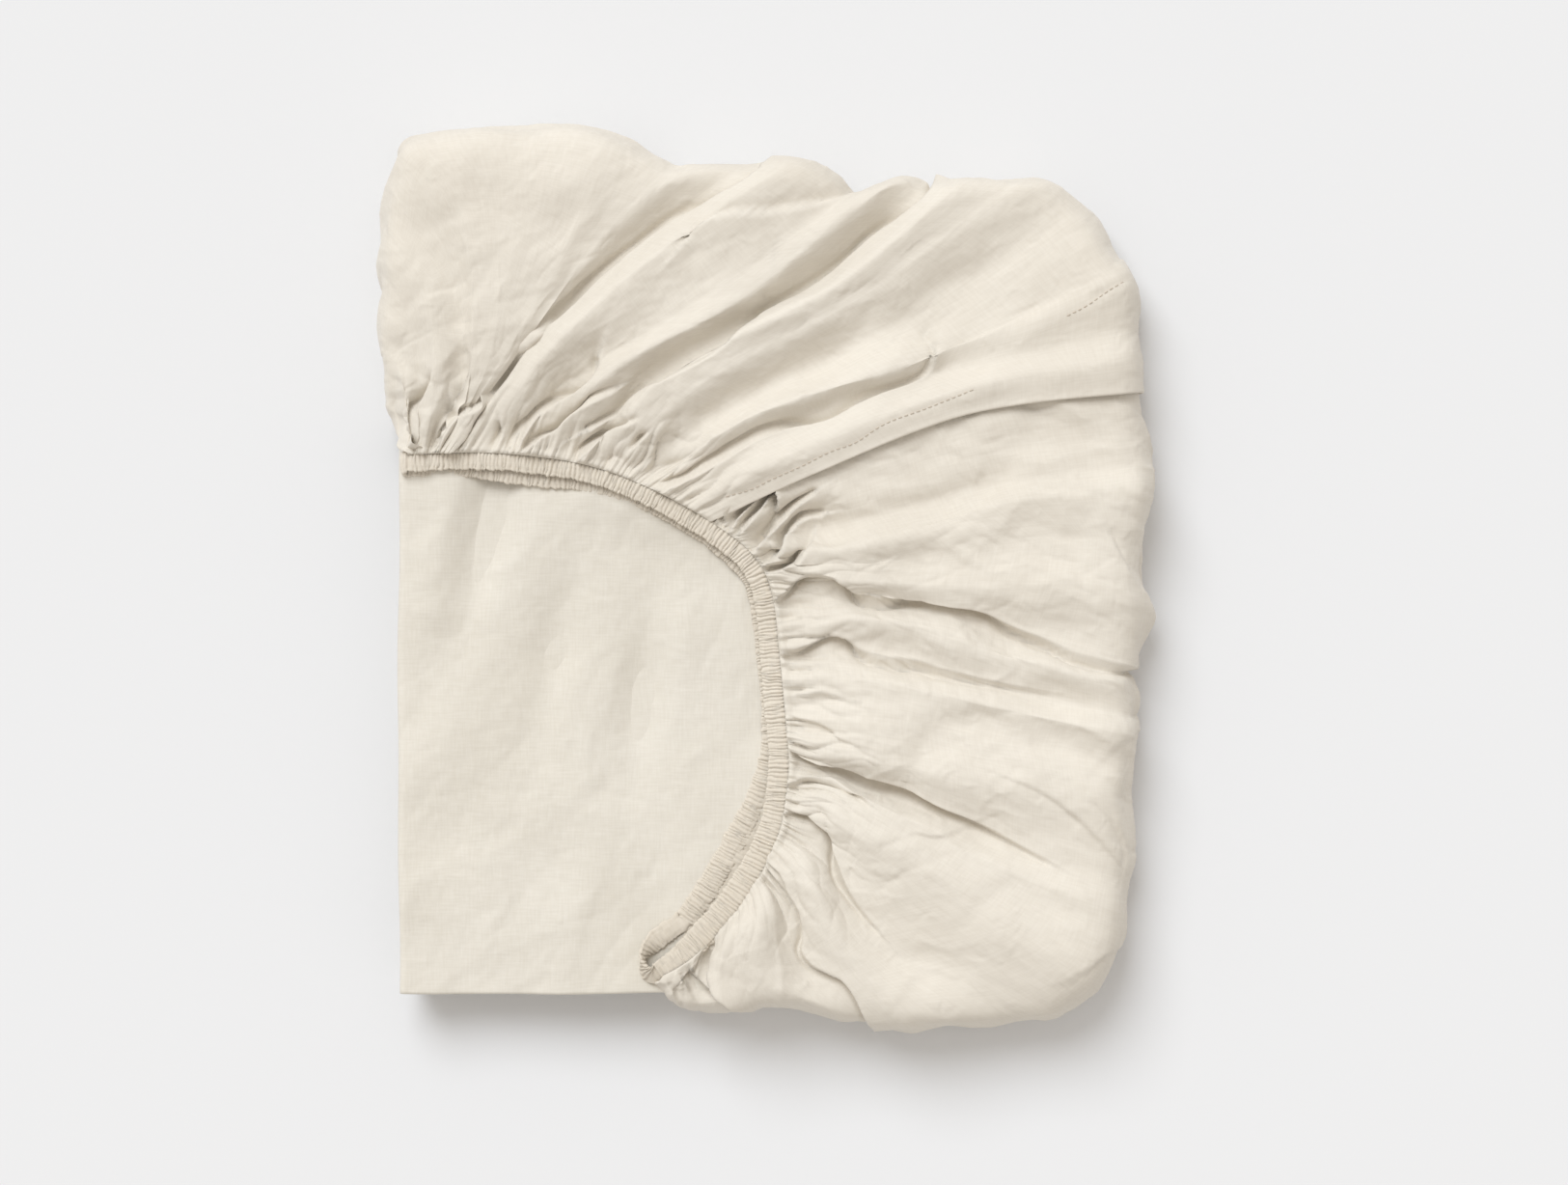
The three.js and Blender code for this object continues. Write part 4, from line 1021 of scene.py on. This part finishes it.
def lowest_layer_piece():
    """The lowest layer, which the packet lies on, drawn in from the silhouette."""
    distance = np.linspace(0, EDGE.length - 12, 420)
    outline = EDGE.at(distance) - EDGE.left(distance) * (WALL_FOOT["inset"] + 0.4)
    front_corner, back_corner = np.array(LOWEST_CORNERS)
    front = np.linspace(outline[-1], front_corner, 60)[1:]
    side = np.linspace(front_corner, back_corner, 110)[1:]
    outline = np.concatenate([outline, front, side])
    middle = outline.mean(0)
    shares = np.concatenate([[1.0], np.linspace(0.985, 0.9, 5), np.linspace(0.86, 0.03, 34)])
    plan = middle + (outline - middle)[None] * shares[:, None, None]
    height = LOWEST_RISE
    for size, seed, wavelength in LOWEST_SWELLS:
        height = height + size * swell(plan, seed, wavelength)
    height += crease_heights(plan, panel_small_creases(plan), 0.8)
    height *= (1 - shares ** 12)[:, None]
    grid = np.concatenate([plan, UNDERSIDE + np.maximum(height, 0)[..., None]], 2)
    return mesh_from_grid("lowest_layer", grid, close_columns=True)


def on_surface(points, place):
    """A place of the plan brought up to just above a surface, from the four nearest of its points."""
    gap = np.linalg.norm(points[:, :2] - place, axis=1)
    near = np.argsort(gap)[:4]
    weight = 1 / (gap[near] + 0.15) ** 2
    height = (points[near, 2] * weight).sum() / weight.sum()
    return np.array([*place, height + 0.2])


def stitch_bar(start, end):
    """A grid for one stitch: a thin six-sided bar of thread that sinks in at both ends."""
    length = np.linalg.norm(end - start)
    direction = (end - start) / length
    side = np.cross(direction, UP)
    side /= np.linalg.norm(side)
    top = np.cross(side, direction)
    shares = np.array([0, 0.12, 0.5, 0.88, 1])
    sizes = np.array([0.02, 0.22, 0.28, 0.22, 0.02])
    sink = np.array([-0.15, 0.02, 0.1, 0.02, -0.15])
    angles = np.linspace(0, math.tau, 7)[:-1]
    ring = np.cos(angles)[:, None] * side + np.sin(angles)[:, None] * top
    middle = start + direction * length * shares[:, None] + top * sink[:, None]
    return middle[:, None] + ring[None] * sizes[:, None, None]


def stitch_piece(grid):
    """Short thread stitches along the corner seam, lying on the upper skirt."""
    points = grid[:RIM_ROW].reshape(-1, 3)
    pieces = []
    for line in (SEAM_LINE, CORNER_SEAM_LINE):
        route = Route(spots(line))
        for start in np.arange(0, route.length - 3, STITCH_PITCH):
            ends = [on_surface(points, route.at(place)) for place in (start, start + STITCH_LENGTH)]
            pieces.append(mesh_from_grid(f"stitch_{len(pieces)}", stitch_bar(*ends), close_columns=True))
    return joined("seam_stitches", pieces)


def add_node(tree, kind, place, sockets, **settings):
    """A shader node with some settings, and each named socket set to a value or linked to an output."""
    node = tree.nodes.new("ShaderNode" + kind)
    node.location = place
    for name, value in settings.items():
        setattr(node, name, value)
    for socket, value in sockets.items():
        if isinstance(value, bpy.types.NodeSocket):
            tree.links.new(value, node.inputs[socket])
        else:
            node.inputs[socket].default_value = value
    return node


def cotton_material(name, light, dark, crinkle):
    """Crinkled cotton: a fine plain weave with slubs, soft crinkles and a slight change of tone."""
    material = bpy.data.materials.new(name)
    material.use_nodes = True
    tree = material.node_tree
    shader = tree.nodes["Principled BSDF"]
    for socket, value in COTTON_SHADER.items():
        shader.inputs[socket].default_value = value
    cloth = add_node(tree, "UVMap", (-1500, 0), {}, uv_map="cloth").outputs["UV"]
    place = add_node(tree, "TexCoord", (-1500, -500), {}).outputs["Object"]
    slubs = []
    threads = []
    for bands, scale, y in (("X", (90, 900, 1), 300), ("Y", (900, 90, 1), 550)):
        drawn_out = add_node(tree, "Mapping", (-1250, y), {"Vector": cloth, "Scale": scale}).outputs["Vector"]
        noise = add_node(tree, "TexNoise", (-1050, y), {"Vector": drawn_out, "Scale": 1.0, "Detail": 2.0})
        slubs.append(noise.outputs["Fac"])
        wave = {"Vector": cloth, "Scale": 1 / THREAD_PITCH, "Distortion": 1.2, "Detail": 1.0}
        threads.append(add_node(tree, "TexWave", (-1050, -y), wave, bands_direction=bands).outputs["Fac"])
    slub_sum = add_node(tree, "Math", (-900, 400), dict(enumerate(slubs)), operation="ADD").outputs["Value"]
    halved = {0: slub_sum, 1: 0.5}
    slub_mean = add_node(tree, "Math", (-850, 300), halved, operation="MULTIPLY").outputs["Value"]
    soft_tone = {"Vector": place, "Scale": 9.0, "Detail": 4.0, "Roughness": 0.55}
    tone = add_node(tree, "TexNoise", (-1050, 100), soft_tone).outputs["Fac"]
    mixed = {"Factor": 0.5, "A": tone, "B": slub_mean}
    mixed_tone = add_node(tree, "Mix", (-800, 200), mixed, data_type="FLOAT").outputs["Result"]
    ramp = add_node(tree, "ValToRGB", (-600, 200), {"Fac": mixed_tone})
    for element, position, colour in zip(ramp.color_ramp.elements, TONE_RANGE, (dark, light)):
        element.position = position
        element.color = (*colour, 1)
    weave = add_node(tree, "Math", (-800, -250), dict(enumerate(threads)), operation="ADD").outputs["Value"]
    ridges = {"Vector": place, "Scale": 120.0, "Detail": 3.0, "Roughness": 0.5, "Distortion": 0.4}
    crinkles = add_node(tree, "TexNoise", (-800, -650), ridges, noise_type="RIDGED_MULTIFRACTAL")
    crinkled = {"Height": crinkles.outputs["Fac"], "Strength": crinkle, "Distance": 0.0006}
    bump = add_node(tree, "Bump", (-600, -500), crinkled).outputs["Normal"]
    woven = {"Height": weave, "Normal": bump, "Strength": 0.25, "Distance": 0.00012}
    tree.links.new(add_node(tree, "Bump", (-350, -200), woven).outputs["Normal"], shader.inputs["Normal"])
    tree.links.new(ramp.outputs["Color"], shader.inputs["Base Color"])
    return material


def dress(piece, material, node):
    """Gives a piece its material and its body, and hides the imported solid of the node it stands for."""
    piece.data.materials.clear()
    piece.data.materials.append(material)
    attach(piece, "root")
    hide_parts(node)


def add_floor():
    """A plain pale floor, wide enough to fill the picture."""
    bpy.ops.mesh.primitive_plane_add(size=8, location=(0, 0, 0))
    floor = bpy.context.active_object
    floor.name = "floor"
    material = bpy.data.materials.new("pale_floor")
    material.use_nodes = True
    shader = material.node_tree.nodes["Principled BSDF"]
    shader.inputs["Base Color"].default_value = (0.769, 0.779, 0.80, 1)
    shader.inputs["Roughness"].default_value = 0.9
    shader.inputs["Specular IOR Level"].default_value = 0.1
    floor.data.materials.append(material)


def add_light():
    """A large soft key from the upper left and pale light all round."""
    key = bpy.data.lights.new("key", "SUN")
    key.angle = math.radians(36)
    key.energy = 2.05
    key.color = (0.94, 0.975, 1.01)
    lamp = bpy.data.objects.new("key", key)
    height, bearing = math.radians(49), math.radians(117)
    lamp.location = (-1.0, 1.7, 2.1)
    lamp.rotation_euler = (math.pi / 2 - height, 0, bearing + math.pi / 2)
    bpy.context.scene.collection.objects.link(lamp)
    world = bpy.data.worlds.new("pale")
    world.use_nodes = True
    sky = world.node_tree.nodes["Background"]
    sky.inputs["Color"].default_value = (1.0, 0.945, 0.875, 1)
    sky.inputs["Strength"].default_value = 0.665
    bpy.context.scene.world = world
    bpy.context.scene.view_settings.view_transform = "Standard"


def add_camera():
    """The photograph's view: straight down on the packet, with its long side up the picture."""
    camera = bpy.data.cameras.new("camera")
    camera.lens = 106.0
    camera.sensor_width = 36.0
    holder = bpy.data.objects.new("camera", camera)
    holder.location = (0.0099, -0.0083, 2.53)
    bpy.context.scene.collection.objects.link(holder)
    bpy.context.scene.camera = holder


def build():
    """Makes every piece of the sheet and gives it its finish."""
    crinkled = cotton_material("crinkled_cotton", (0.77, 0.727, 0.653), (0.685, 0.637, 0.56), 1.0)
    smooth = cotton_material("smooth_cotton", (0.775, 0.741, 0.675), (0.675, 0.636, 0.560), 0.4)
    # The gathered cotton of the elastic and the lower strip is painted shade: a darker copy of the same
    # cotton, standing in for the shade among the gathers and ribs
    gathered = cotton_material("gathered_cotton", (0.75, 0.695, 0.61), (0.66, 0.60, 0.51), 0.3)
    thread = cotton_material("seam_thread", (0.64, 0.575, 0.49), (0.55, 0.48, 0.40), 0.1)
    upper_grid = dressed_grid(UPPER_RAYS, UPPER_CREASES, 11, 48)
    right_grid = dressed_grid(RIGHT_RAYS, RIGHT_CREASES, 12, -18)
    pieces = [
        (mesh_from_grid("upper_skirt", turned_edge(turned_edge(upper_grid, True), False)), crinkled),
        (mesh_from_grid("right_skirt", turned_edge(right_grid, True, 0.8, 2.5)), crinkled),
        (panel_piece(), smooth),
        (stack_piece(), smooth),
        (lower_skirt_piece(), gathered),
        (lowest_layer_piece(), smooth),
    ]
    for piece, material in pieces:
        dress(piece, material, CLOTH_NODE)
    dress(stitch_piece(upper_grid), thread, CLOTH_NODE)
    dress(elastic_piece(), gathered, ELASTIC_NODE)


add_camera()
add_floor()
add_light()
build()
